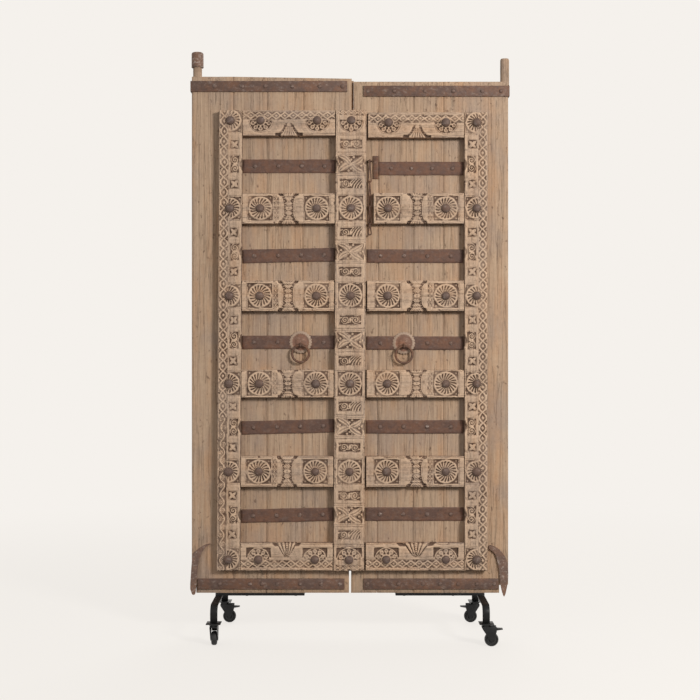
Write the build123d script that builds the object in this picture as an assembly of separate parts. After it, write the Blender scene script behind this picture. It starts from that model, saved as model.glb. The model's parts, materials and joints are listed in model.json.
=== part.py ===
from build123d import *
import math
import os

# Pair of carved haveli door leaves standing on a rolling stand.
# Millimetres, +Z up, carved face towards -Y. The origin is on the floor, midway between
# the outer edges of the leaves and midway between the front and rear casters.

# Leaves and their boards
LEAF_REACH = 633.0
LEAF_BOTTOM = 167.0
LEFT_LEAF_HEIGHT = 2066.0
RIGHT_LEAF_DROP = 20.0
LEFT_TOP_FALL = 8.0
MEETING_GAP = 8.0
MEETING_LEAN = 11.0
BOARD_THICKNESS = 40.0
BOARD_SEAM = 0.8
LEFT_HINGE_STILE_WIDTH = 165.0
RIGHT_HINGE_STILE_WIDTH = 258.0
LEFT_BOARD_SHARES = (0.0, 0.288, 0.59, 1.0)
RIGHT_BOARD_SHARES = (0.0, 0.33, 0.72, 1.0)

# Pivot pegs, the iron ferrule and the horn-shaped pivot irons
LEFT_PEG_RADIUS = 18.5
LEFT_PEG_INSET = 21.0
LEFT_PEG_HEIGHT = 94.0
RIGHT_PEG_RADIUS = 18.5
RIGHT_PEG_INSET = 12.0
RIGHT_PEG_HEIGHT = 94.0
PEG_ROOT = 120.0
FERRULE_WALL = 5.0
FERRULE_HEIGHT = 60.0
FERRULE_CHAMFER = 4.0
FERRULE_CLEARANCE = 0.2
FERRULE_SIDES = 14
HORN_WIDTH = 81.0
HORN_HEIGHT = 204.0
HORN_THICKNESS = 9.0
LEFT_HORN_OVERHANG = 5.0
RIGHT_HORN_INSET = 1.0
LEFT_HORN_DROP = 6.0
RIGHT_HORN_DROP = 12.5
LEFT_HORN_SHARES = (
    (1.0, 1.0), (0.8, 0.988), (0.58, 0.95), (0.36, 0.89), (0.17, 0.82), (0.1, 0.75), (0.05, 0.49), (0.0, 0.2),
    (0.03, 0.08), (0.13, 0.0), (0.25, 0.035), (0.31, 0.26), (0.38, 0.59), (0.5, 0.77), (0.75, 0.93),
)
RIGHT_HORN_SHARES = (
    (0.97, 0.99), (0.84, 1.0), (0.66, 0.975), (0.44, 0.92), (0.26, 0.84), (0.115, 0.745), (0.03, 0.63), (0.0, 0.4),
    (0.06, 0.19), (0.207, 0.0), (0.37, 0.21), (0.435, 0.47), (0.56, 0.74), (0.7, 0.86), (0.97, 0.945),
)
LEFT_CORNER_CUT = 18.0
RIGHT_CORNER_CUT = 36.0
CORNER_CUT_HEIGHT = 33.0

# Carved frame: stiles and rails
FRAME_BOTTOM_MARGIN = 95.0
FRAME_TOP_MARGIN = 141.0
RIGHT_FRAME_DROP = 8.0
STILE_DEPTH = 36.0
RAIL_DEPTH = 34.0
CENTRE_STILE_DEPTH = 41.0
OUTER_STILE_WIDTH = 92.0
OUTER_STILE_INSET = 108.0
RIGHT_STILE_INSET = 86.0
CENTRE_STILE_WIDTH = 122.0
RAIL_HEIGHT = 122.0
NARROW_RAIL_HEIGHT = 110.0
TOP_RAIL_HEIGHT = 101.0
BOTTOM_RAIL_HEIGHT = 110.0
RAIL_CENTRE_SHARES = (0.787, 0.597, 0.406, 0.215)
RAIL_END_GAP = 1.0
MEETING_RAIL_GAP = 5.0
CHAIN_SLOT_WIDTH = 30.0

# Carving
CARVE_OVERRUN = 6.0
ROSETTE_RADIUS = 46.0
ROSETTE_PETALS = 14
PALMETTE_PETALS = 6
PETAL_DEPTH = 8.0
SEAT_DEPTH = 2.0
PETAL_LOW_SHARE = 0.72
OUTER_ROSETTE_INSET = 72.0
INNER_ROSETTE_INSET = 75.0
MEETING_ROSETTE_INSET = 87.0
PALMETTE_RADIUS = 37.0
BAND_CENTRE = 20.0
LOZENGE_WIDTH = 29.0
LOZENGE_HEIGHT = 34.0
LOZENGE_PITCH = 46.0
LOZENGE_DEPTH = 6.0
BORDER_HEIGHT = 34.0
BORDER_LOZENGE_WIDTH = 34.0
BORDER_LOZENGE_HEIGHT = 24.0
SQUARE_SIZE = 31.0
SQUARE_CENTRE = 61.0
SQUARE_REACH_SHARE = 0.348
PANEL_WIDTH = 86.0
PANEL_HEIGHT = 36.0
PANEL_PIT_DEPTH = 6.0
BOWTIE_WIDTH = 84.0
BOWTIE_HEIGHT = 66.0
VASE_WIDTH = 70.0
VASE_NECK = 26.0
VASE_CORNER_HEIGHT = 30.0
VASE_CUT_DEPTH = 14.0
EDGE_NOTCH_HEIGHT = 44.0
EDGE_NOTCH_DEPTH = 9.0

# Boss nails in the carving
BOSS_RADIUS = 17.5
BOSS_SHOULDER_RADIUS = 12.0
BOSS_SHOULDER_HEIGHT = 8.0
BOSS_HEIGHT = 12.5
BOSS_SIDES = 7
BOSS_SEAT_RADIUS = 19.5
STILE_BOSS_INSET = 44.0
TOP_BOSS_DROP = 41.0
BOTTOM_BOSS_RISE = 44.0

# Iron straps and their rose-head nails
STRAP_THICKNESS = 5.0
PANEL_STRAP_HEIGHT = 55.0
STRAP_END_GAP = 2.0
LEFT_STRAP_DROP_SHARES = (0.06, 0.21, 0.12, 0.02, 0.08)
RIGHT_STRAP_DROP_SHARES = (0.15, 0.25, 0.18, 0.02, 0.0)
LEFT_STRAP_TILT_ANGLES = (0.0, 1.1, 0.0, 1.3, 1.2)
RIGHT_STRAP_TILT_ANGLES = (0.0, 0.0, 0.0, 0.0, 0.0)
LEFT_PANEL_NAIL_SHARES = (0.13, 0.385, 0.635, 0.885)
RIGHT_PANEL_NAIL_SHARES = (0.145, 0.385, 0.628, 0.871)
EDGE_STRAP_HEIGHT = 43.0
LEFT_TOP_STRAP_DROP = 40.0
RIGHT_TOP_STRAP_DROP = 39.0
BOTTOM_STRAP_RISE = 37.0
LEFT_STRAP_MEETING_GAP = 22.0
RIGHT_STRAP_MEETING_GAP = 54.0
LEFT_BOTTOM_STRAP_INSET = 25.0
RIGHT_BOTTOM_STRAP_INSET = 40.0
LEFT_TOP_NAIL_SHARES = (0.15, 0.324, 0.472, 0.646, 0.823, 0.97)
RIGHT_TOP_NAIL_SHARES = (0.03, 0.212, 0.423, 0.619, 0.819, 0.949)
LEFT_BOTTOM_NAIL_SHARES = (0.15, 0.354, 0.438, 0.543, 0.698, 0.838, 0.97)
RIGHT_BOTTOM_NAIL_SHARES = (0.03, 0.259, 0.442, 0.568, 0.702, 0.84, 0.97)
NAIL_RADIUS = 8.5
NAIL_HEIGHT = 5.0
NAIL_SIDES = 4

# Ring pulls
PULL_BAY_SHARE = 0.5
LEFT_PULL_NAIL = 2
RIGHT_PULL_NAIL = 1
PULL_PLATE_RADIUS = 46.0
PULL_PLATE_LOBES = 12
PULL_RIM_THICKNESS = 3.0
PULL_DOME_RADIUS = 30.0
PULL_DOME_HEIGHT = 8.0
RING_RADIUS_SHARE = 0.1456
RING_BAR_RADIUS = 5.0
RING_SEGMENTS = 18
RING_STAND_OFF = 6.5
EYE_DROP = 12.0
EYE_BAR_RADIUS = 3.0
EYE_CLEARANCE = 0.5
EYE_SLOT_CLEARANCE = 0.4

# Hasp chain beside the centre stile
CHAIN_STAND_OFF = 18.0
CHAIN_DROP = 199.0
CHAIN_SLOT_INSET = 14.0
CHAIN_LENGTH = 295.0
CHAIN_LINK_SHARES = (0.29, 0.335, 0.23, 0.145)
LINK_BAR_RADIUS = 2.6
LINK_HALF_WIDTH = 7.0
LINK_FLAT_SHARE = 0.45
LINK_SHOULDER_SHARE = 0.6
LINK_CLEARANCE = 0.5
CHAIN_STAPLE_REACH = 8.5
CHAIN_PLATE_WIDTH = 22.0
CHAIN_PLATE_HEIGHT = 92.0
CHAIN_PLATE_THICKNESS = 4.0
CHAIN_PLATE_GAP = 2.0
CHAIN_PLATE_RISE = 22.0
BAR_SIDES = 6

# Battens and joining bars on the back
BATTEN_THICKNESS = 28.0
BATTEN_HEIGHT = 84.0
BATTEN_OUTER_INSET = 42.0
BATTEN_MEETING_INSET = 26.0
JOINING_BAR_LENGTH = 360.0
JOINING_BAR_HEIGHT = 40.0
JOINING_BAR_THICKNESS = 6.0
JOINING_BATTEN_SHARES = (0.2, 0.8)
SCREW_HEAD_RADIUS = 7.0
SCREW_HEAD_HEIGHT = 4.5
SCREW_SIDES = 6
JOINING_SCREW_SHARES = (0.08, 0.3, 0.7, 0.92)
STAND_SCREW_SHARES = (0.35, 0.9)

# Rolling stand
STAND_BAR_INSET = 95.0
STAND_BAR_LENGTH = 356.0
STAND_BAR_WIDTH = 46.0
STAND_BAR_THICKNESS = 10.0
ARCH_WIDTH = 28.0
ARCH_THICKNESS = 6.0
ARCH_BEND_RADIUS = 34.0
CASTER_INSET = 109.0
CASTER_Y = 212.0

# Casters
CASTER_HEIGHT = 90.0
PLATE_SIZE = 56.0
PLATE_THICKNESS = 3.0
RACE_RADIUS = 17.0
RACE_THICKNESS = 9.0
KINGPIN_RADIUS = 5.0
KINGPIN_HEAD_RADIUS = 9.0
KINGPIN_HEAD_THICKNESS = 3.0
CROWN_THICKNESS = 3.5
CROWN_BACK_REACH = 17.0
SWIVEL_CLEARANCE = 0.35
WHEEL_RADIUS = 27.0
WHEEL_WIDTH = 22.0
WHEEL_SIDE_GAP = 1.5
CASTER_TRAIL = 20.0
AXLE_RADIUS = 4.0
AXLE_CLEARANCE = 0.35
CHEEK_THICKNESS = 2.5
CHEEK_TOE = 9.0
WHEEL_SIDES = 36
RACE_SIDES = 12
PIN_SIDES = 10
PEDAL_PIN_RADIUS = 2.5
PEDAL_PIN_CLEARANCE = 0.3
PEDAL_PIN_REACH = 34.0
PEDAL_PIN_HEIGHT = 64.5
PEDAL_WIDTH = 22.0
PEDAL_LENGTH = 29.0
PEDAL_TIP_RISE = 4.0
PEDAL_THICKNESS = 3.0
PEDAL_KNUCKLE = 5.2
PEDAL_SHOE_REACH = 12.0
PEDAL_SHOE_WIDTH = 5.0
CASTER_HEADINGS = {
    "front_left": (-1, -1, 90.0),
    "front_right": (1, -1, 0.0),
    "rear_left": (-1, 1, 0.0),
    "rear_right": (1, 1, 180.0),
}

# Planes and heights that several pieces share
BOARD_FRONT = -BOARD_THICKNESS / 2
BOARD_BACK = BOARD_THICKNESS / 2
STILE_FACE = BOARD_FRONT - STILE_DEPTH
RAIL_FACE = BOARD_FRONT - RAIL_DEPTH
CENTRE_FACE = BOARD_FRONT - CENTRE_STILE_DEPTH
STRAP_FACE = BOARD_FRONT - STRAP_THICKNESS
BATTEN_BACK = BOARD_BACK + BATTEN_THICKNESS
LEFT_LEAF_TOP = LEAF_BOTTOM + LEFT_LEAF_HEIGHT
RIGHT_LEAF_TOP = LEFT_LEAF_TOP - RIGHT_LEAF_DROP
FRAME_BOTTOM = LEAF_BOTTOM + FRAME_BOTTOM_MARGIN
FRAME_TOP = LEFT_LEAF_TOP - FRAME_TOP_MARGIN
RIGHT_FRAME_TOP = FRAME_TOP - RIGHT_FRAME_DROP
LEAN_ANGLE = math.degrees(math.atan2(MEETING_LEAN, LEFT_LEAF_HEIGHT))
FRAME_MIDDLE = (FRAME_BOTTOM + FRAME_TOP) / 2
CHAIN_Y = BOARD_FRONT - CHAIN_STAND_OFF
CHAIN_TOP = FRAME_TOP - CHAIN_DROP
CASTER_X = LEAF_REACH - CASTER_INSET
STAND_BAR_OUTER = LEAF_REACH - STAND_BAR_INSET
RAIL_KINDS = ("top", "middle", "middle", "middle", "middle", "bottom")


def meeting_x(z):
    """Where the leaning joint between the leaves is at a height."""
    return MEETING_LEAN * (z - LEAF_BOTTOM) / LEFT_LEAF_HEIGHT


def left_stile_inner(z):
    """Inner edge of the left carved stile, which leans like the meeting joint."""
    lean = meeting_x(z) - meeting_x(FRAME_MIDDLE)
    return -LEAF_REACH + OUTER_STILE_INSET + OUTER_STILE_WIDTH + lean


def centre_stile_middle(z):
    """Middle of the centre stile at a height."""
    return meeting_x(z) - meeting_x(FRAME_MIDDLE)


def right_stile_inner():
    """Inner edge of the upright right carved stile."""
    return LEAF_REACH - RIGHT_STILE_INSET - OUTER_STILE_WIDTH


def rail_spans(frame_top):
    """Bottom and top of the six rails of one leaf, from the top rail down."""
    spans = [(frame_top - TOP_RAIL_HEIGHT, frame_top)]
    heights = (RAIL_HEIGHT, RAIL_HEIGHT, NARROW_RAIL_HEIGHT, RAIL_HEIGHT)
    for share, height in zip(RAIL_CENTRE_SHARES, heights):
        middle = FRAME_BOTTOM + share * (FRAME_TOP - FRAME_BOTTOM)
        spans.append((middle - height / 2, middle + height / 2))
    spans.append((FRAME_BOTTOM, FRAME_BOTTOM + BOTTOM_RAIL_HEIGHT))
    return spans


def bays(frame_top):
    """Mid height and height of the five open bays between the rails, from the top down."""
    spans = rail_spans(frame_top)
    return [((upper[0] + lower[1]) / 2, upper[0] - lower[1]) for upper, lower in zip(spans, spans[1:])]


def boss_rows(frame_top):
    """Heights of the six rows of boss nails, from the top down."""
    rows = [frame_top - TOP_BOSS_DROP]
    rows += [(low + high) / 2 for low, high in rail_spans(frame_top)[1:5]]
    rows.append(FRAME_BOTTOM + BOTTOM_BOSS_RISE)
    return rows


def left_rosettes(z):
    """The two rosette centres of a left rail."""
    inner = centre_stile_middle(z) - CENTRE_STILE_WIDTH / 2
    return left_stile_inner(z) + OUTER_ROSETTE_INSET, inner - INNER_ROSETTE_INSET


def right_rosettes(z):
    """The two rosette centres of a right rail."""
    inner = centre_stile_middle(z) + CENTRE_STILE_WIDTH / 2
    return inner + MEETING_ROSETTE_INSET, right_stile_inner() - INNER_ROSETTE_INSET


def block(x, y, z):
    """Box between pairs of planes."""
    size = [high - low for low, high in (x, y, z)]
    middle = [(low + high) / 2 for low, high in (x, y, z)]
    return Pos(*middle) * Box(*size)


def slab(points, front, back):
    """Plate with a straight-sided outline in X and Z, between two Y planes."""
    outline = Polyline(*[(x, front, z) for x, z in points], close=True)
    return extrude(make_face(outline), back - front, dir=(0, 1, 0))


def upright(points, low, high):
    """Prism with a straight-sided outline in X and Y, between two heights."""
    outline = Polyline(*[(x, y, low) for x, y in points], close=True)
    return extrude(make_face(outline), high - low, dir=(0, 0, 1))


def polyhedron(faces):
    """Closed solid from flat faces given by their corners."""
    return Solid(Shell([Face(Wire.make_polygon(corners, close=True)) for corners in faces]))


def ring_points(x, z, radius, count, start=0.0, spread=360.0):
    """Points on an arc in X and Z, the last one left out of a full turn."""
    steps = count if spread == 360.0 else count + 1
    turns = [math.radians(start + spread * step / count) for step in range(steps)]
    return [(x + radius * math.cos(turn), z + radius * math.sin(turn)) for turn in turns]


def pit(points, depth, face):
    """Cutter for a chip-carved pit: its walls meet at one low point under the middle."""
    x = sum(point[0] for point in points) / len(points)
    z = sum(point[1] for point in points) / len(points)
    grow = (depth + CARVE_OVERRUN) / depth
    rim = [(x + (px - x) * grow, face - CARVE_OVERRUN, z + (pz - z) * grow) for px, pz in points]
    low = (x, face + depth, z)
    sides = [(start, end, low) for start, end in zip(rim, rim[1:] + rim[:1])]
    return polyhedron([rim] + sides)


def diamond(x, z, width, height):
    """Corners of a lozenge."""
    return [(x - width / 2, z), (x, z - height / 2), (x + width / 2, z), (x, z + height / 2)]


def rectangle(x, z, width, height):
    """Corners of an upright rectangle."""
    left, right = x - width / 2, x + width / 2
    return [(left, z - height / 2), (right, z - height / 2), (right, z + height / 2), (left, z + height / 2)]


def petal_dish(x, z, face, radius, petals, start=0.0, spread=360.0):
    """Cutter for gouged petals: round a sunk seat for a boss nail, or half way round a flush one."""
    rim = ring_points(x, z, radius, petals, start, spread)
    seat = ring_points(x, z, BOSS_SEAT_RADIUS, petals, start, spread)
    low_radius = BOSS_SEAT_RADIUS + (radius - BOSS_SEAT_RADIUS) * PETAL_LOW_SHARE
    half_step = spread / petals / 2
    lows = ring_points(x, z, low_radius, petals, start + half_step, spread)[:petals]
    top = [(px, face - CARVE_OVERRUN, pz) for px, pz in rim]
    rim = [(px, face, pz) for px, pz in rim]
    seat = [(px, face + SEAT_DEPTH, pz) for px, pz in seat]
    lows = [(px, face + PETAL_DEPTH, pz) for px, pz in lows]
    whole = spread == 360.0
    seat_top = [(px, face - CARVE_OVERRUN, pz) for px, _, pz in seat]
    faces = [top, seat] if whole else [top + seat_top[::-1]]
    for index, low in enumerate(lows):
        after = (index + 1) % len(rim)
        faces.append((top[index], top[after], rim[after], rim[index]))
        faces.append((rim[index], rim[after], low))
        faces.append((rim[index], low, seat[index]))
        faces.append((rim[after], seat[after], low))
        faces.append((seat[index], low, seat[after]))
        if not whole:
            faces.append((seat[index], seat[after], seat_top[after], seat_top[index]))
    if not whole:
        faces += [(top[end], rim[end], seat[end], seat_top[end]) for end in (0, -1)]
    return polyhedron(faces)


def rosette(x, z, face):
    """Cutter for a whole rosette."""
    return [petal_dish(x, z, face, ROSETTE_RADIUS, ROSETTE_PETALS)]


def palmette(x, z, face, start):
    """Cutter for half a rosette beside a boss nail."""
    return [petal_dish(x, z, face, PALMETTE_RADIUS, PALMETTE_PETALS, start, 180.0)]


def lozenges_up(x, low, high, face, clear_of):
    """Cutters for an upright band of lozenges that keeps clear of the boss nails."""
    count = int((high - low) / LOZENGE_PITCH)
    first = (low + high - (count - 1) * LOZENGE_PITCH) / 2
    cutters = []
    for step in range(count):
        z = first + step * LOZENGE_PITCH
        if all(abs(z - row) > BOSS_SEAT_RADIUS + LOZENGE_HEIGHT / 4 for row in clear_of):
            cutters.append(pit(diamond(x, z, LOZENGE_WIDTH, LOZENGE_HEIGHT), LOZENGE_DEPTH, face))
    return cutters


def lozenges_across(left, right, z, face):
    """Cutters for a level border of lozenges."""
    count = int((right - left) / LOZENGE_PITCH)
    first = (left + right - (count - 1) * LOZENGE_PITCH) / 2
    places = [first + step * LOZENGE_PITCH for step in range(count)]
    return [
        pit(diamond(x, z, BORDER_LOZENGE_WIDTH, BORDER_LOZENGE_HEIGHT), LOZENGE_DEPTH, face)
        for x in places
    ]


def edge_notch(edge, inward, z, face):
    """Cutter for the notch of a stile's edge where a strap meets it."""
    points = [
        (edge - inward * CARVE_OVERRUN, z - EDGE_NOTCH_HEIGHT / 2),
        (edge - inward * CARVE_OVERRUN, z + EDGE_NOTCH_HEIGHT / 2),
        (edge + inward * EDGE_NOTCH_DEPTH, z),
    ]
    return slab(points, face - CARVE_OVERRUN, face + VASE_CUT_DEPTH)


def vase_corners(x, edge, outward, face):
    """Cutters for the two dark corners beside the vase at one edge of a rail."""
    cutters = []
    for side in (-1, 1):
        points = [
            (x + side * VASE_NECK / 2, edge + outward * CARVE_OVERRUN),
            (x + side * VASE_WIDTH / 2, edge + outward * CARVE_OVERRUN),
            (x + side * VASE_WIDTH / 2, edge),
            (x + side * (VASE_WIDTH + VASE_NECK) / 4, edge - outward * VASE_CORNER_HEIGHT),
            (x + side * VASE_NECK / 2, edge),
        ]
        cutters.append(slab(points, face - CARVE_OVERRUN, face + VASE_CUT_DEPTH))
    return cutters


def bar_flat(radius):
    """From the middle of a forged bar to its flats."""
    return radius * math.cos(math.pi / BAR_SIDES)


def forged_bar(path, radius, closed):
    """Bar of polygonal section along straight runs, mitred at the corners of its path."""
    points = [Vector(*point) for point in path]
    count = len(points)
    middle = sum(points, Vector()) / count
    rings = []
    for index, point in enumerate(points):
        before = points[index - 1] if closed or index > 0 else point
        after = points[(index + 1) % count] if closed or index < count - 1 else point
        run_in = (point - before).normalized() if before != point else (after - point).normalized()
        run_out = (after - point).normalized() if after != point else run_in
        along = (run_in + run_out).normalized()
        outward = point - middle
        outward = (outward - along * outward.dot(along)).normalized()
        across = along.cross(outward)
        stretch = 1 / math.sqrt((1 + run_in.dot(run_out)) / 2)
        corner = run_out - run_in
        bend = corner.normalized() if corner.length > 1e-6 else outward
        ring = []
        for side in range(BAR_SIDES):
            turn = math.tau * (side + 0.5) / BAR_SIDES
            offset = outward * (radius * math.cos(turn)) + across * (radius * math.sin(turn))
            offset = offset + bend * (offset.dot(bend) * (stretch - 1))
            ring.append(point + offset)
        rings.append(ring)
    faces = []
    for index in range(count if closed else count - 1):
        ring, after = rings[index], rings[(index + 1) % count]
        for side in range(BAR_SIDES):
            other = (side + 1) % BAR_SIDES
            faces.append((ring[side], ring[other], after[other]))
            faces.append((ring[side], after[other], after[side]))
    if not closed:
        faces += [rings[0], rings[-1]]
    return polyhedron(faces)


def hinge_stile(side, width, leaf_top, peg_radius, peg_inset, peg_height, corner_cut):
    """Outer board of a leaf, with the turned peg it hangs by and its cut lower corner."""
    outer = side * LEAF_REACH
    inner = side * (LEAF_REACH - width)
    points = [
        (outer - side * corner_cut, LEAF_BOTTOM),
        (inner, LEAF_BOTTOM),
        (inner, leaf_top),
        (outer, leaf_top),
        (outer, LEAF_BOTTOM + CORNER_CUT_HEIGHT),
        (outer - side * corner_cut, LEAF_BOTTOM + CORNER_CUT_HEIGHT),
    ]
    board = slab(points, BOARD_FRONT, BOARD_BACK)
    peg = Cylinder(peg_radius, peg_height + PEG_ROOT, align=(Align.CENTER, Align.CENTER, Align.MIN))
    peg = Pos(outer - side * peg_inset, 0, leaf_top - PEG_ROOT) * peg
    within = block(
        (min(outer, inner) - peg_radius, max(outer, inner) + peg_radius),
        (-peg_radius, peg_radius),
        (leaf_top - PEG_ROOT, leaf_top),
    )
    head = peg - within
    return board + head


def boards(leaf_edges, shares, top):
    """Upright boards of one leaf, side by side between the hinge stile and the meeting edge."""
    outer, meeting = leaf_edges
    made = []
    for first, last in zip(shares, shares[1:]):
        def left(z, share=first):
            return outer + (meeting(z) - outer) * share

        def right(z, share=last):
            return outer + (meeting(z) - outer) * share

        seam = math.copysign(BOARD_SEAM, meeting(LEAF_BOTTOM) - outer)
        points = [
            (left(LEAF_BOTTOM) + seam, LEAF_BOTTOM),
            (right(LEAF_BOTTOM), LEAF_BOTTOM),
            (right(top(last)), top(last)),
            (left(top(first)) + seam, top(first)),
        ]
        made.append(slab(points, BOARD_FRONT, BOARD_BACK))
    return made


def left_boards():
    """Boards of the left leaf."""
    outer = -LEAF_REACH + LEFT_HINGE_STILE_WIDTH

    def meeting(z):
        return meeting_x(z) - MEETING_GAP / 2

    def top(share):
        return LEFT_LEAF_TOP - LEFT_TOP_FALL * share

    return boards((outer, meeting), LEFT_BOARD_SHARES, top)


def right_boards():
    """Boards of the right leaf."""
    outer = LEAF_REACH - RIGHT_HINGE_STILE_WIDTH

    def meeting(z):
        return meeting_x(z) + MEETING_GAP / 2

    def top(share):
        return RIGHT_LEAF_TOP

    return boards((outer, meeting), RIGHT_BOARD_SHARES, top)


def ferrule():
    """Iron cap over the left peg."""
    inner = (LEFT_PEG_RADIUS + FERRULE_CLEARANCE) / math.cos(math.pi / FERRULE_SIDES)
    inside_top = LEFT_LEAF_TOP + LEFT_PEG_HEIGHT + FERRULE_CLEARANCE
    top = inside_top + FERRULE_WALL
    cap = turned(inner + FERRULE_WALL, top - FERRULE_HEIGHT, top, FERRULE_SIDES)
    cap = chamfer(cap.faces().sort_by(Axis.Z)[-1].edges(), FERRULE_CHAMFER)
    hollow = turned(inner, LEFT_LEAF_TOP, inside_top, FERRULE_SIDES)
    return Pos(-LEAF_REACH + LEFT_PEG_INSET, 0, 0) * (cap - hollow)


def horn(side, reach, drop, shares):
    """Forged iron that curls over the lower pivot corner of a leaf."""
    bottom = LEAF_BOTTOM - drop
    outline = [(side * (reach - HORN_WIDTH * x), bottom + HORN_HEIGHT * z) for x, z in shares]
    return slab(outline, BOARD_FRONT - HORN_THICKNESS, BOARD_FRONT)


def outer_stile(outer, inward, frame_top, lean):
    """Carved outer stile: lozenge band, half rosettes at the rails, flower squares and notches."""
    inner = outer + inward * OUTER_STILE_WIDTH
    rows = boss_rows(frame_top)
    face = STILE_FACE
    stile = block(sorted((outer, inner)), (face, BOARD_FRONT), (FRAME_BOTTOM, frame_top))
    boss_x = outer + inward * STILE_BOSS_INSET
    start = -90.0 if inward > 0 else 90.0
    cutters = lozenges_up(outer + inward * BAND_CENTRE, FRAME_BOTTOM, frame_top, face, rows)
    for row in rows:
        cutters += palmette(boss_x, row, face, start)
    for z, height in bays(frame_top):
        cutters.append(edge_notch(inner, -inward, z, face))
        for step in (-SQUARE_REACH_SHARE, SQUARE_REACH_SHARE):
            square = rectangle(outer + inward * SQUARE_CENTRE, z + step * height, SQUARE_SIZE, SQUARE_SIZE)
            cutters.append(pit(square, PANEL_PIT_DEPTH, face))
    stile = stile - cutters
    pivot = Pos((outer + inner) / 2, 0, FRAME_MIDDLE)
    return pivot * Rot(0, lean, 0) * pivot.inverse() * stile


def centre_stile():
    """Carved stile that covers the meeting joint and leans with it."""
    face = CENTRE_FACE
    half = CENTRE_STILE_WIDTH / 2
    rows = boss_rows(FRAME_TOP)
    stile = block((-half, half), (face, BOARD_FRONT), (FRAME_BOTTOM, FRAME_TOP))
    border = CENTRE_STILE_WIDTH / 2
    cutters = palmette(0, rows[0], face, 180.0) + palmette(0, rows[-1], face, 0.0)
    cutters += lozenges_across(-border, border, FRAME_BOTTOM + BORDER_LOZENGE_HEIGHT / 2, face)
    for row in rows[1:-1]:
        cutters += rosette(0, row, face)
    for z, height in bays(FRAME_TOP):
        for step in (-1, 1):
            panel = rectangle(0, z + step * SQUARE_REACH_SHARE * height, PANEL_WIDTH, PANEL_HEIGHT)
            cutters.append(pit(panel, PANEL_PIT_DEPTH, face))
            cutters.append(edge_notch(step * half, -step, z, face))
            wing = [
                (0, z),
                (step * BOWTIE_WIDTH / 2, z - BOWTIE_HEIGHT / 2),
                (step * BOWTIE_WIDTH / 2, z + BOWTIE_HEIGHT / 2),
            ]
            cutters.append(pit(wing, PANEL_PIT_DEPTH, face))
    stile = stile - cutters
    pivot = Pos(0, 0, FRAME_MIDDLE)
    return pivot * Rot(0, LEAN_ANGLE, 0) * pivot.inverse() * stile


def rail(left, right, span, rosettes, kind):
    """Carved rail: rosettes and a vase between them, or a lozenge border at the top or bottom."""
    low, high = span
    face = RAIL_FACE
    body = block((left, right), (face, BOARD_FRONT), span)
    vase = sum(rosettes) / 2
    cutters = []
    if kind == "middle":
        for x in rosettes:
            cutters += rosette(x, (low + high) / 2, face)
        cutters += vase_corners(vase, high, 1, face) + vase_corners(vase, low, -1, face)
    elif kind == "top":
        cutters += lozenges_across(left, right, high - BORDER_HEIGHT / 2, face)
        cutters += vase_corners(vase, low, -1, face)
        for x in rosettes:
            cutters += palmette(x, high - TOP_BOSS_DROP, face, 180.0)
    else:
        cutters += lozenges_across(left, right, low + BORDER_HEIGHT / 2, face)
        cutters += vase_corners(vase, high, 1, face)
        for x in rosettes:
            cutters += palmette(x, low + BOTTOM_BOSS_RISE, face, 0.0)
    return body - cutters


def left_rails():
    """Six rails of the left leaf, from the top down."""
    made = []
    for span, kind in zip(rail_spans(FRAME_TOP), RAIL_KINDS):
        z = sum(span) / 2
        left = left_stile_inner(z) + RAIL_END_GAP
        right = centre_stile_middle(z) - CENTRE_STILE_WIDTH / 2 - RAIL_END_GAP
        made.append(rail(left, right, span, left_rosettes(z), kind))
    return made


def right_rails():
    """Six rails of the right leaf, from the top down; the second stops short for the chain."""
    made = []
    for index, (span, kind) in enumerate(zip(rail_spans(RIGHT_FRAME_TOP), RAIL_KINDS)):
        z = sum(span) / 2
        gap = CHAIN_SLOT_WIDTH if index == 1 else MEETING_RAIL_GAP
        left = centre_stile_middle(z) + CENTRE_STILE_WIDTH / 2 + gap
        right = right_stile_inner() - RAIL_END_GAP
        made.append(rail(left, right, span, right_rosettes(z), kind))
    return made


def boss_nail(x, z, seat):
    """Forged boss nail head with a faceted dome, seated on the carving."""
    base = [(px, seat, pz) for px, pz in ring_points(x, z, BOSS_RADIUS, BOSS_SIDES)]
    ring = ring_points(x, z, BOSS_SHOULDER_RADIUS, BOSS_SIDES)
    shoulder = [(px, seat - BOSS_SHOULDER_HEIGHT, pz) for px, pz in ring]
    crown = (x, seat - BOSS_HEIGHT, z)
    faces = [base]
    for index in range(BOSS_SIDES):
        after = (index + 1) % BOSS_SIDES
        faces.append((base[index], base[after], shoulder[after], shoulder[index]))
        faces.append((shoulder[index], shoulder[after], crown))
    return polyhedron(faces)


def boss_nails():
    """All boss nails, row by row."""
    made = []
    left_outer = -LEAF_REACH + OUTER_STILE_INSET
    right_outer = LEAF_REACH - RIGHT_STILE_INSET
    for z, kind in zip(boss_rows(FRAME_TOP), RAIL_KINDS):
        sunk = SEAT_DEPTH if kind == "middle" else 0
        lean = meeting_x(z) - meeting_x(FRAME_MIDDLE)
        made.append(boss_nail(left_outer + STILE_BOSS_INSET + lean, z, STILE_FACE))
        made.append(boss_nail(centre_stile_middle(z), z, CENTRE_FACE + sunk))
        made += [boss_nail(x, z, RAIL_FACE + sunk) for x in left_rosettes(z)]
    for z, kind in zip(boss_rows(RIGHT_FRAME_TOP), RAIL_KINDS):
        sunk = SEAT_DEPTH if kind == "middle" else 0
        made.append(boss_nail(right_outer - STILE_BOSS_INSET, z, STILE_FACE))
        made += [boss_nail(x, z, RAIL_FACE + sunk) for x in right_rosettes(z)]
    return made


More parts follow.
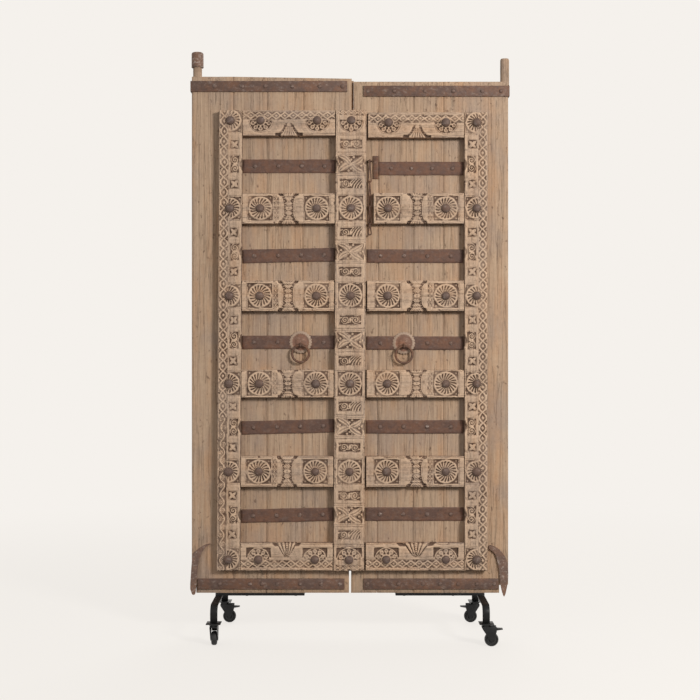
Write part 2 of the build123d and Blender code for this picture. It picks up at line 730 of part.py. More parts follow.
def rose_nail(x, z):
    """Low faceted head of a hand-made nail on a strap."""
    base = [(px, STRAP_FACE, pz) for px, pz in ring_points(x, z, NAIL_RADIUS, NAIL_SIDES)]
    crown = (x, STRAP_FACE - NAIL_HEIGHT, z)
    sides = [(start, end, crown) for start, end in zip(base, base[1:] + base[:1])]
    return polyhedron([base] + sides)


def panel_strap_rows(left_leaf):
    """Ends, mid height and tilt of the five panel straps of one leaf."""
    top = FRAME_TOP if left_leaf else RIGHT_FRAME_TOP
    drops = LEFT_STRAP_DROP_SHARES if left_leaf else RIGHT_STRAP_DROP_SHARES
    tilts = LEFT_STRAP_TILT_ANGLES if left_leaf else RIGHT_STRAP_TILT_ANGLES
    rows = []
    for index, ((middle, _), drop, tilt) in enumerate(zip(bays(top), drops, tilts)):
        z = middle - drop * PANEL_STRAP_HEIGHT
        if left_leaf:
            start = left_stile_inner(z) + STRAP_END_GAP
            end = centre_stile_middle(z) - CENTRE_STILE_WIDTH / 2 - STRAP_END_GAP
        else:
            start = chain_plate_left() + CHAIN_PLATE_WIDTH + STRAP_END_GAP if index == 0 else (
                centre_stile_middle(z) + CENTRE_STILE_WIDTH / 2 + MEETING_RAIL_GAP
            )
            end = right_stile_inner() - STRAP_END_GAP
        rows.append((start, end, z, tilt))
    return rows


def panel_straps(left_leaf):
    """The five iron straps across the open bays of one leaf."""
    made = []
    for start, end, z, tilt in panel_strap_rows(left_leaf):
        strap = block((start, end), (STRAP_FACE, BOARD_FRONT), (-PANEL_STRAP_HEIGHT / 2, PANEL_STRAP_HEIGHT / 2))
        middle = (start + end) / 2
        made.append(Pos(middle, 0, z) * Rot(0, -tilt, 0) * Pos(-middle, 0, 0) * strap)
    return made


def edge_strap_rows():
    """Ends, mid height and leaf side of the straps along the top and bottom of the leaves."""
    left_top = LEFT_LEAF_TOP - LEFT_TOP_STRAP_DROP
    right_top = RIGHT_LEAF_TOP - RIGHT_TOP_STRAP_DROP
    bottom = LEAF_BOTTOM + BOTTOM_STRAP_RISE
    left_end = -LEFT_STRAP_MEETING_GAP
    return {
        "left_top": (-LEAF_REACH, meeting_x(left_top) + left_end, left_top),
        "left_bottom": (-LEAF_REACH + LEFT_BOTTOM_STRAP_INSET, left_end, bottom),
        "right_top": (RIGHT_STRAP_MEETING_GAP, LEAF_REACH, right_top),
        "right_bottom": (RIGHT_STRAP_MEETING_GAP, LEAF_REACH - RIGHT_BOTTOM_STRAP_INSET, bottom),
    }


def edge_strap(name, side):
    """Strap along a leaf's top or bottom; a top strap is folded round the hinge edge."""
    start, end, z = edge_strap_rows()[name]
    span = (z - EDGE_STRAP_HEIGHT / 2, z + EDGE_STRAP_HEIGHT / 2)
    strap = block((start, end), (STRAP_FACE, BOARD_FRONT), span)
    if name.endswith("top"):
        edge = side * LEAF_REACH
        fold = block(sorted((edge, edge + side * STRAP_THICKNESS)), (STRAP_FACE, BOARD_BACK), span)
        strap = strap + fold
    return strap


def strap_nails():
    """Rose-head nails of every strap."""
    made = []
    nail_shares = {
        "left_top": LEFT_TOP_NAIL_SHARES,
        "left_bottom": LEFT_BOTTOM_NAIL_SHARES,
        "right_top": RIGHT_TOP_NAIL_SHARES,
        "right_bottom": RIGHT_BOTTOM_NAIL_SHARES,
    }
    for name, (start, end, z) in edge_strap_rows().items():
        made += [rose_nail(start + (end - start) * share, z) for share in nail_shares[name]]
    for left_leaf in (True, False):
        shares = LEFT_PANEL_NAIL_SHARES if left_leaf else RIGHT_PANEL_NAIL_SHARES
        under_plate = LEFT_PULL_NAIL if left_leaf else RIGHT_PULL_NAIL
        for row, (start, end, z, tilt) in enumerate(panel_strap_rows(left_leaf)):
            for index, share in enumerate(shares):
                if row == pull_row() and index == under_plate:
                    continue
                away = (share - 0.5) * (end - start)
                rise = away * math.sin(math.radians(tilt))
                made.append(rose_nail((start + end) / 2 + away, z + rise))
    return made


def pull_row():
    """Which panel strap carries the ring pulls, counted from the top."""
    return round(PULL_BAY_SHARE * (len(bays(FRAME_TOP)) - 1))


def ring_radius():
    """Middle radius of a pull ring, which hangs clear of the rail below it."""
    return RING_RADIUS_SHARE * bays(FRAME_TOP)[pull_row()][1]


def pull_place(left_leaf):
    """X and Z of a ring pull's back plate, on the third panel strap."""
    start, end, z, tilt = panel_strap_rows(left_leaf)[pull_row()]
    share = (LEFT_PANEL_NAIL_SHARES[LEFT_PULL_NAIL] if left_leaf
             else RIGHT_PANEL_NAIL_SHARES[RIGHT_PULL_NAIL])
    return start + (end - start) * share, z


def ring_pivot(left_leaf):
    """Point that a pull ring swings about."""
    x, z = pull_place(left_leaf)
    return x, STRAP_FACE - PULL_DOME_HEIGHT - RING_STAND_OFF, z - EYE_DROP


def pull_plate(left_leaf):
    """Scalloped back plate with a raised middle, slotted for the legs of its eye."""
    x, z = pull_place(left_leaf)
    lobes = ring_points(x, z, PULL_PLATE_RADIUS, PULL_PLATE_LOBES)
    rim = slab(lobes, STRAP_FACE - PULL_RIM_THICKNESS, STRAP_FACE)
    base = ring_points(x, z, PULL_DOME_RADIUS, PULL_PLATE_LOBES)
    top = ring_points(x, z, PULL_DOME_RADIUS / 2, PULL_PLATE_LOBES)
    base = [(px, STRAP_FACE, pz) for px, pz in base]
    top = [(px, STRAP_FACE - PULL_DOME_HEIGHT, pz) for px, pz in top]
    faces = [base, top]
    for index in range(PULL_PLATE_LOBES):
        after = (index + 1) % PULL_PLATE_LOBES
        faces.append((base[index], base[after], top[after], top[index]))
    plate = rim + polyhedron(faces)
    half_width = EYE_BAR_RADIUS + EYE_SLOT_CLEARANCE
    half_height = eye_reach() + EYE_BAR_RADIUS + EYE_SLOT_CLEARANCE
    middle = ring_pivot(left_leaf)[2]
    slot = block(
        (x - half_width, x + half_width),
        (STRAP_FACE - PULL_DOME_HEIGHT - CARVE_OVERRUN, STRAP_FACE + CARVE_OVERRUN),
        (middle - half_height, middle + half_height),
    )
    return plate - slot


def eye_reach():
    """From the middle of a ring's bar to the middle of the eye that holds it."""
    return RING_BAR_RADIUS + EYE_BAR_RADIUS + EYE_CLEARANCE


def pull_eye(left_leaf):
    """Staple whose legs go through the plate and whose bow holds the ring."""
    x, y, z = ring_pivot(left_leaf)
    reach = eye_reach()
    bend = reach * math.tan(math.radians(22.5))
    profile = [
        (STRAP_FACE, reach),
        (y - bend, reach),
        (y - reach, bend),
        (y - reach, -bend),
        (y - bend, -reach),
        (STRAP_FACE, -reach),
    ]
    return forged_bar([(x, py, z + pz) for py, pz in profile], EYE_BAR_RADIUS, False)


def pull_ring(left_leaf):
    """Forged ring that hangs from its eye."""
    x, y, z = ring_pivot(left_leaf)
    half_step = 180.0 / RING_SEGMENTS
    radius = ring_radius() / math.cos(math.radians(half_step))
    path = ring_points(x, z - ring_radius(), radius, RING_SEGMENTS, 90.0 + half_step)
    return forged_bar([(px, y, pz) for px, pz in path], RING_BAR_RADIUS, True)


def chain_x():
    """Middle of the chain, in the slot beside the centre stile."""
    return centre_stile_middle(CHAIN_TOP) + CENTRE_STILE_WIDTH / 2 + CHAIN_SLOT_INSET


def chain_plate_left():
    """Left edge of the plate beside the chain staple."""
    return chain_x() + CHAIN_STAPLE_REACH + LINK_BAR_RADIUS + CHAIN_PLATE_GAP


def chain_pivots():
    """Height of each link's pivot, from the staple down, and of the last link's lower bar."""
    heights = [CHAIN_TOP]
    for share in CHAIN_LINK_SHARES:
        heights.append(heights[-1] - share * CHAIN_LENGTH)
    return heights


def chain_staple():
    """Level staple that the first link hangs from."""
    x = chain_x()
    reach = CHAIN_STAPLE_REACH
    path = [
        (x - reach, BOARD_FRONT, CHAIN_TOP),
        (x - reach, CHAIN_Y, CHAIN_TOP),
        (x + reach, CHAIN_Y, CHAIN_TOP),
        (x + reach, BOARD_FRONT, CHAIN_TOP),
    ]
    return forged_bar(path, LINK_BAR_RADIUS, False)


def chain_plate():
    """Iron plate on the boards beside the chain staple."""
    left = chain_plate_left()
    return block(
        (left, left + CHAIN_PLATE_WIDTH),
        (BOARD_FRONT - CHAIN_PLATE_THICKNESS, BOARD_FRONT),
        (CHAIN_TOP + CHAIN_PLATE_RISE - CHAIN_PLATE_HEIGHT, CHAIN_TOP + CHAIN_PLATE_RISE),
    )


def chain_link(top, bottom):
    """Long link, twisted a quarter turn, hanging over a bar at one height to its own lower bar."""
    x, y = chain_x(), CHAIN_Y
    half = LINK_HALF_WIDTH
    flat = half * LINK_FLAT_SHARE
    shoulder = half * LINK_SHOULDER_SHARE
    crown = top + 2 * bar_flat(LINK_BAR_RADIUS) + LINK_CLEARANCE
    path = [
        (x, y - flat, crown),
        (x, y + flat, crown),
        (x, y + half, crown - shoulder),
        (x + half, y, bottom + shoulder),
        (x + flat, y, bottom),
        (x - flat, y, bottom),
        (x - half, y, bottom + shoulder),
        (x, y - half, crown - shoulder),
    ]
    return forged_bar(path, LINK_BAR_RADIUS, True)


def batten_spans():
    """Bottom and top of the battens behind the rails, from the top down."""
    middles = [sum(span) / 2 for span in rail_spans(RIGHT_FRAME_TOP)]
    return [(z - BATTEN_HEIGHT / 2, z + BATTEN_HEIGHT / 2) for z in middles]


def back_battens():
    """Battens across the back of the boards of both leaves."""
    made = []
    for span in batten_spans():
        z = sum(span) / 2
        outer = LEAF_REACH - BATTEN_OUTER_INSET
        for ends in (
            (-outer, meeting_x(z) - BATTEN_MEETING_INSET),
            (meeting_x(z) + BATTEN_MEETING_INSET, outer),
        ):
            made.append(block(ends, (BOARD_BACK, BATTEN_BACK), span))
    return made


def joining_bar_heights():
    """Mid heights of the flat bars that join the two leaves at the back."""
    spans = batten_spans()
    return [sum(spans[round(share * (len(spans) - 1))]) / 2 for share in JOINING_BATTEN_SHARES]


def joining_bars():
    """Flat bars across the meeting joint, on the battens."""
    made = []
    for z in joining_bar_heights():
        middle = meeting_x(z)
        made.append(block(
            (middle - JOINING_BAR_LENGTH / 2, middle + JOINING_BAR_LENGTH / 2),
            (BATTEN_BACK, BATTEN_BACK + JOINING_BAR_THICKNESS),
            (z - JOINING_BAR_HEIGHT / 2, z + JOINING_BAR_HEIGHT / 2),
        ))
    return made


def screws():
    """Screw heads of the joining bars and of the bars under the leaves."""
    made = []
    back = BATTEN_BACK + JOINING_BAR_THICKNESS
    for z in joining_bar_heights():
        for share in JOINING_SCREW_SHARES:
            x = meeting_x(z) + (share - 0.5) * JOINING_BAR_LENGTH
            head = ring_points(x, z, SCREW_HEAD_RADIUS, SCREW_SIDES)
            made.append(slab(head, back, back + SCREW_HEAD_HEIGHT))
    low = LEAF_BOTTOM - STAND_BAR_THICKNESS
    for side in (-1, 1):
        for share in STAND_SCREW_SHARES:
            x = side * (STAND_BAR_OUTER - STAND_BAR_LENGTH * share)
            made.append(upright(ring_points(x, 0, SCREW_HEAD_RADIUS, SCREW_SIDES), low - SCREW_HEAD_HEIGHT, low))
    return made


def stand(side):
    """Welded stand of one leaf: a flat bar under the boards and a bent arch that carries it."""
    top = LEAF_BOTTOM - STAND_BAR_THICKNESS
    ends = sorted((side * STAND_BAR_OUTER, side * (STAND_BAR_OUTER - STAND_BAR_LENGTH)))
    bar = block(ends, (-STAND_BAR_WIDTH / 2, STAND_BAR_WIDTH / 2), (top, LEAF_BOTTOM))
    half = CASTER_Y + ARCH_THICKNESS / 2
    left = side * CASTER_X - ARCH_WIDTH / 2
    path = FilletPolyline(
        (left, -half, CASTER_HEIGHT),
        (left, -half, top),
        (left, half, top),
        (left, half, CASTER_HEIGHT),
        radius=ARCH_BEND_RADIUS,
    )
    inner_half = half - ARCH_THICKNESS
    inner = FilletPolyline(
        (left, inner_half, CASTER_HEIGHT),
        (left, inner_half, top - ARCH_THICKNESS),
        (left, -inner_half, top - ARCH_THICKNESS),
        (left, -inner_half, CASTER_HEIGHT),
        radius=ARCH_BEND_RADIUS - ARCH_THICKNESS,
    )
    feet = [Line(path @ 1, inner @ 0), Line(inner @ 1, path @ 0)]
    profile = make_face(path.edges() + inner.edges() + [edge for foot in feet for edge in foot.edges()])
    return bar + extrude(profile, ARCH_WIDTH, dir=(1, 0, 0))


def turned(radius, low, high, sides):
    """Upright round bar, faceted to keep its faces few."""
    return upright(ring_points(0, 0, radius, sides), low, high)


def across(bar, x, z):
    """Upright bar laid along Y through a point of a caster."""
    return Pos(x, 0, z) * Rot(90, 0, 0) * bar


def caster_plate():
    """Top plate of a caster with its swivel race and headed kingpin, over the origin."""
    plate_low = CASTER_HEIGHT - PLATE_THICKNESS
    half = PLATE_SIZE / 2
    plate = block((-half, half), (-half, half), (plate_low, CASTER_HEIGHT))
    race_low = plate_low - RACE_THICKNESS
    shank_low = crown_low() - SWIVEL_CLEARANCE
    race = turned(RACE_RADIUS, race_low, plate_low, RACE_SIDES)
    pin = turned(KINGPIN_RADIUS, shank_low, race_low, PIN_SIDES)
    head = turned(KINGPIN_HEAD_RADIUS, shank_low - KINGPIN_HEAD_THICKNESS, shank_low, SCREW_SIDES)
    return plate + race + pin + head


def crown_top():
    """Top of a fork's crown, just under the swivel race."""
    return CASTER_HEIGHT - PLATE_THICKNESS - RACE_THICKNESS - SWIVEL_CLEARANCE


def crown_low():
    """Underside of a fork's crown."""
    return crown_top() - CROWN_THICKNESS


def fork():
    """Swivelling fork with its riveted axle and the cross pin of the brake pedal, trailing to +X."""
    inside = WHEEL_WIDTH / 2 + WHEEL_SIDE_GAP
    outside = inside + CHEEK_THICKNESS
    front = PEDAL_PIN_REACH + PEDAL_KNUCKLE
    outline = [
        (-CROWN_BACK_REACH, crown_top()),
        (front, crown_top()),
        (front, PEDAL_PIN_HEIGHT - PEDAL_KNUCKLE),
        (CASTER_TRAIL + CHEEK_TOE, WHEEL_RADIUS),
        (CASTER_TRAIL + CHEEK_TOE / 2, WHEEL_RADIUS - CHEEK_TOE),
        (CASTER_TRAIL - CHEEK_TOE / 2, WHEEL_RADIUS - CHEEK_TOE),
        (CASTER_TRAIL - CHEEK_TOE, WHEEL_RADIUS),
        (-CROWN_BACK_REACH, crown_low() - CROWN_THICKNESS),
    ]
    body = slab(outline, -outside, outside)
    reach = CASTER_TRAIL + WHEEL_RADIUS + PEDAL_LENGTH
    body = body - block((-reach, reach), (-inside, inside), (-reach, crown_low()))
    opening = (KINGPIN_HEAD_RADIUS + PEDAL_KNUCKLE, reach)
    body = body - block(opening, (-inside, inside), (0, CASTER_HEIGHT))
    hole = turned(bore_corner(KINGPIN_RADIUS + SWIVEL_CLEARANCE), 0, CASTER_HEIGHT, PIN_SIDES)
    axle = across(turned(AXLE_RADIUS, -inside, inside, PIN_SIDES), CASTER_TRAIL, WHEEL_RADIUS)
    pin = across(turned(PEDAL_PIN_RADIUS, -inside, inside, PIN_SIDES), PEDAL_PIN_REACH, PEDAL_PIN_HEIGHT)
    return body - hole + axle + pin


def bore_corner(radius):
    """Corner radius of a faceted bore whose flats clear a radius."""
    return radius / math.cos(math.pi / PIN_SIDES)


def wheel():
    """Solid tread wheel on its axle."""
    half = WHEEL_WIDTH / 2
    tread = turned(WHEEL_RADIUS, -half, half, WHEEL_SIDES)
    bore = turned(bore_corner(AXLE_RADIUS + AXLE_CLEARANCE), -WHEEL_WIDTH, WHEEL_WIDTH, PIN_SIDES)
    return across(tread - bore, CASTER_TRAIL, WHEEL_RADIUS)


def pedal():
    """Brake pedal with its shoe over the tread, turning on the fork's cross pin."""
    x, z = PEDAL_PIN_REACH, PEDAL_PIN_HEIGHT
    knuckle = PEDAL_KNUCKLE
    outline = [
        (x - knuckle, z + knuckle / 2),
        (x, z + knuckle),
        (x + PEDAL_LENGTH, z + PEDAL_TIP_RISE),
        (x + PEDAL_LENGTH, z + PEDAL_TIP_RISE - PEDAL_THICKNESS),
        (x + knuckle, z - knuckle / 2),
        (x + PEDAL_SHOE_WIDTH / 2, z - PEDAL_SHOE_REACH),
        (x - PEDAL_SHOE_WIDTH / 2, z - PEDAL_SHOE_REACH),
        (x - knuckle, z - knuckle / 2),
    ]
    lever = slab(outline, -PEDAL_WIDTH / 2, PEDAL_WIDTH / 2)
    bore = turned(bore_corner(PEDAL_PIN_RADIUS + PEDAL_PIN_CLEARANCE), -PEDAL_WIDTH, PEDAL_WIDTH, PIN_SIDES)
    return lever - across(bore, x, z)


def caster_place(corner):
    """Turn and place of a caster from its own frame to its corner of the stand."""
    side, depth, heading = CASTER_HEADINGS[corner]
    return Pos(side * CASTER_X, depth * CASTER_Y, 0) * Rot(0, 0, heading)


def hinge_stiles():
    """Outer boards of both leaves."""
    left = hinge_stile(
        -1, LEFT_HINGE_STILE_WIDTH, LEFT_LEAF_TOP,
        LEFT_PEG_RADIUS, LEFT_PEG_INSET, LEFT_PEG_HEIGHT, LEFT_CORNER_CUT,
    )
    right = hinge_stile(
        1, RIGHT_HINGE_STILE_WIDTH, RIGHT_LEAF_TOP,
        RIGHT_PEG_RADIUS, RIGHT_PEG_INSET, RIGHT_PEG_HEIGHT, RIGHT_CORNER_CUT,
    )
    return left, right


def make_nodes():
    """Every named piece of the door, at rest."""
    nodes = {}
    nodes["left_hinge_stile"], nodes["right_hinge_stile"] = hinge_stiles()
    nodes["left_boards"] = left_boards()
    nodes["right_boards"] = right_boards()
    left_horn = horn(-1, LEAF_REACH + LEFT_HORN_OVERHANG, LEFT_HORN_DROP, LEFT_HORN_SHARES)
    nodes["left_pivot_irons"] = [ferrule(), left_horn]
    nodes["right_pivot_horn"] = horn(1, LEAF_REACH - RIGHT_HORN_INSET, RIGHT_HORN_DROP, RIGHT_HORN_SHARES)
    nodes["left_carved_stile"] = outer_stile(-LEAF_REACH + OUTER_STILE_INSET, 1, FRAME_TOP, LEAN_ANGLE)
    nodes["right_carved_stile"] = outer_stile(LEAF_REACH - RIGHT_STILE_INSET, -1, RIGHT_FRAME_TOP, 0)
    nodes["centre_carved_stile"] = centre_stile()
    for index, piece in enumerate(left_rails(), 1):
        nodes[f"left_rail_{index}"] = piece
    for index, piece in enumerate(right_rails(), 1):
        nodes[f"right_rail_{index}"] = piece
    nodes["boss_nails"] = boss_nails()
    nodes["left_edge_straps"] = [edge_strap("left_top", -1), edge_strap("left_bottom", -1)]
    nodes["right_edge_straps"] = [edge_strap("right_top", 1), edge_strap("right_bottom", 1)]
    nodes["left_panel_straps"] = panel_straps(True)
    nodes["right_panel_straps"] = panel_straps(False)
    nodes["strap_nails"] = strap_nails()
    nodes["pull_plates"] = [pull_plate(True), pull_plate(False)]
    nodes["pull_eyes"] = [pull_eye(True), pull_eye(False)]
    nodes["left_pull_ring"] = pull_ring(True)
    nodes["right_pull_ring"] = pull_ring(False)
    nodes["chain_staple"] = chain_staple()
    nodes["chain_plate"] = chain_plate()
    heights = chain_pivots()
    for index, (top, bottom) in enumerate(zip(heights, heights[1:]), 1):
        nodes[f"chain_link_{index}"] = chain_link(top, bottom)
    nodes["back_battens"] = back_battens()
    nodes["joining_bars"] = joining_bars()
    nodes["fixing_screws"] = screws()
    nodes["left_stand"] = stand(-1)
    nodes["right_stand"] = stand(1)
    nodes["caster_plates"] = [caster_place(corner) * caster_plate() for corner in CASTER_HEADINGS]
    for corner in CASTER_HEADINGS:
        place = caster_place(corner)
        nodes[f"{corner}_fork"] = place * fork()
        nodes[f"{corner}_wheel"] = place * wheel()
        nodes[f"{corner}_pedal"] = place * pedal()
    return nodes


def main():
    os.makedirs("parts", exist_ok=True)
    for name, shape in make_nodes().items():
        if isinstance(shape, list):
            shape = Compound([piece for group in shape for piece in group.solids()])
        export_step(shape, f"parts/{name}.step")


main()
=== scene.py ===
"""Carved haveli double door on a rolling stand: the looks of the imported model."""
from __future__ import annotations

import json
import logging
import math
from dataclasses import dataclass, field
from enum import Enum
from typing import Sequence

import bmesh
import bpy
import numpy as np
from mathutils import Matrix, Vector

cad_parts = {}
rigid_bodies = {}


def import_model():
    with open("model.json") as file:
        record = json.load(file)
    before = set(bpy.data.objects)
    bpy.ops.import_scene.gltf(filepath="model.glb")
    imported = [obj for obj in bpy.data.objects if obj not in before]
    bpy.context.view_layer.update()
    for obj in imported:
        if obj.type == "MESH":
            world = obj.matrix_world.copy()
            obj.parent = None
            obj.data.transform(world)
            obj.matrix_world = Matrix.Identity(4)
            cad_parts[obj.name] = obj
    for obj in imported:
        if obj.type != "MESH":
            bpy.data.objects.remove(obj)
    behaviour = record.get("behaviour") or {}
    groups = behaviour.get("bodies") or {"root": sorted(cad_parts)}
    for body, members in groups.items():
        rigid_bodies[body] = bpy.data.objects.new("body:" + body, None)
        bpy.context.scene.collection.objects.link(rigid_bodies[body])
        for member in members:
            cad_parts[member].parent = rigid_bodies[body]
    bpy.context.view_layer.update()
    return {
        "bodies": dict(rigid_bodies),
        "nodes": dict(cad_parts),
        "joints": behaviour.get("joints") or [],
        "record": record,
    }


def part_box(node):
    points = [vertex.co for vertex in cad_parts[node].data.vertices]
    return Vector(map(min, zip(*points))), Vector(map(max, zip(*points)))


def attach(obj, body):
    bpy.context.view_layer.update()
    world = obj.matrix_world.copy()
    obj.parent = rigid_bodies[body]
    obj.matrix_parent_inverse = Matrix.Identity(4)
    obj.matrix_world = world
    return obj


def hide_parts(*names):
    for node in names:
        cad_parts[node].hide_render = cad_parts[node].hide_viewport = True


LOG = logging.getLogger("haveli_door")
MM = 0.001
FULL_TURN = math.tau
MERGE_REACH = 2e-5
COPLANAR_ANGLE = math.radians(1.0)
Socket = bpy.types.NodeSocket
Material = bpy.types.Material
Colour = tuple[float, float, float]
Table = np.ndarray
Depth = Table
Stops = Sequence[tuple[float, Colour]]
Waves = float | Sequence[float]
Coat = tuple[Colour, Socket, float, float, float]
Values = dict[str, Table]
Parts = tuple[Table, list[Sequence[int]], Values]
BLACK, WHITE = (0.0, 0.0, 0.0), (1.0, 1.0, 1.0)


class Grain(Enum):
    """Which way the fibres of a piece of wood run."""

    LEVEL = "X"
    UPRIGHT = "Z"


class RailKind(Enum):
    """What is carved on a rail."""

    TOP = "top"
    MIDDLE = "middle"
    BOTTOM = "bottom"


def srgb(red: int, green: int, blue: int) -> Colour:
    """Linear colour of an 8-bit display colour.

    Args:
        red, green, blue: display values from 0 to 255.

    Returns:
        The linear colour.
    """
    values = []
    for value in (red, green, blue):
        share = value / 255
        values.append(share / 12.92 if share <= 0.04045 else ((share + 0.055) / 1.055) ** 2.4)
    return values[0], values[1], values[2]


class Wiring:
    """A node tree under construction, with short calls for its nodes and links."""

    def __init__(self, tree: bpy.types.NodeTree) -> None:
        """Takes the tree that the nodes go in."""
        self.tree = tree

    def feed(self, socket: Socket, value: object) -> None:
        """Links a socket to another, or sets its value.

        Args:
            socket: the socket.
            value: another socket, or the value.
        """
        if isinstance(value, Socket):
            self.tree.links.new(value, socket)
        else:
            socket.default_value = value

    def node(self, kind: str, settings: dict | None = None, **inputs: object) -> bpy.types.Node:
        """Adds a node.

        Args:
            kind: the node's type.
            settings: properties of the node itself.
            inputs: socket names, spaces as underscores, and a socket or a value for each.

        Returns:
            The node.
        """
        made = self.tree.nodes.new(kind)
        for key, value in (settings or {}).items():
            setattr(made, key, value)
        for key, value in inputs.items():
            self.feed(made.inputs[key.replace("_", " ")], value)
        return made

    def math(self, way: str, first: object, second: object) -> Socket:
        """One sum of two numbers.

        Args:
            way: which sum.
            first, second: a socket or a value each.

        Returns:
            The result.
        """
        made = self.node("ShaderNodeMath", {"operation": way})
        self.feed(made.inputs[0], first)
        self.feed(made.inputs[1], second)
        return made.outputs[0]


class Sketch(Wiring):
    """A material under construction, with short calls for what the finishes need."""

    def __init__(self, name: str) -> None:
        """Starts a material with one Principled shader.

        Args:
            name: the material's name.
        """
        self.material = bpy.data.materials.new(name)
        self.material.use_nodes = True
        super().__init__(self.material.node_tree)
        self.shader = self.tree.nodes["Principled BSDF"]
        self.place = self.node("ShaderNodeTexCoord").outputs["Object"]

    def stretched(self, waves: Waves, shift: float = 0.0) -> Socket:
        """Object coordinates stretched along the axes.

        Args:
            waves: waves a metre, the same along all the axes or one number for each.
            shift: how far the coordinates are moved.

        Returns:
            The coordinates.
        """
        scale = waves if isinstance(waves, tuple) else (waves, waves, waves)
        shifts = (shift, shift * 0.7, shift * 1.3)
        return self.node("ShaderNodeMapping", Vector=self.place, Scale=scale, Location=shifts).outputs[0]

    def noise(self, waves: Waves, detail: float, rough: float, shift: float = 0.0) -> Socket:
        """Fractal noise from 0 to 1.

        Args:
            waves: waves a metre, the same along all the axes or one number for each.
            detail, rough: how many finer layers it has, and how strong they are.
            shift: what sets it apart from noise of the same size.

        Returns:
            The noise.
        """
        made = self.node("ShaderNodeTexNoise", Vector=self.stretched(waves, shift), Scale=1.0, Detail=detail,
                         Roughness=rough)
        return made.outputs["Fac"]

    def ramp(self, factor: Socket, stops: Stops) -> Socket:
        """Colours along a factor.

        Args:
            factor: the value to colour.
            stops: place and linear colour of each stop.

        Returns:
            The colour.
        """
        made = self.node("ShaderNodeValToRGB", Fac=factor)
        points = made.color_ramp.elements
        while len(points) < len(stops):
            points.new(0.5)
        for point, (spot, colour) in zip(points, stops):
            point.position = spot
            point.color = (*colour, 1.0)
        return made.outputs["Color"]

    def level(self, factor: Socket, low: float, high: float) -> Socket:
        """Grey ramp from black at one value to white at another, whichever is larger."""
        black, white = (low, BLACK), (high, WHITE)
        return self.ramp(factor, (black, white) if low < high else (white, black))

    def mix(self, factor: object, first: object, second: object) -> Socket:
        """Mixes two colours.

        Args:
            factor: share of the second, as a socket or a number.
            first, second: colours or sockets.

        Returns:
            The mixed colour.
        """
        made = self.node("ShaderNodeMix", {"data_type": "RGBA"})
        for place, value in ((0, factor), (6, first), (7, second)):
            self.feed(made.inputs[place], (*value, 1.0) if isinstance(value, tuple) else value)
        return made.outputs[2]

    def tinted(self, colour: object, coats: Sequence[Coat]) -> Socket:
        """Lays coats of colour over another colour.

        Args:
            colour: the colour underneath.
            coats: each coat's colour, the factor that decides where it lies, the values of the factor at
                which it starts and is full, and its strength there.

        Returns:
            The mixed colour.
        """
        for target, factor, low, high, share in coats:
            colour = self.mix(self.span(self.level(factor, low, high), 0.0, share), colour, target)
        return colour

    def attribute(self, name: str) -> Socket:
        """Value of a mesh attribute."""
        return self.node("ShaderNodeAttribute", {"attribute_name": name}).outputs["Fac"]

    def span(self, factor: Socket, low: float, high: float) -> Socket:
        """A factor from 0 to 1 carried to another range."""
        made = self.node("ShaderNodeMapRange", Value=factor, To_Min=low, To_Max=high)
        return made.outputs[0]

    def bump(self, height: Socket, depth: float, under: object = None) -> Socket:
        """Normal of a rough surface.

        Args:
            height: height from 0 to 1.
            depth: depth of the relief in metres.
            under: normal that this one is laid on.

        Returns:
            The normal.
        """
        made = self.node("ShaderNodeBump", Height=height, Strength=1.0, Distance=depth)
        if under is not None:
            self.feed(made.inputs["Normal"], under)
        return made.outputs["Normal"]

    def done(self, **inputs: object) -> Material:
        """Sets the shader's sockets.

        Args:
            inputs: socket names, spaces as underscores, and a socket or a value for each.

        Returns:
            The material.
        """
        for key, value in inputs.items():
            colour = isinstance(value, tuple)
            self.feed(self.shader.inputs[key.replace("_", " ")], (*value, 1.0) if colour else value)
        return self.material


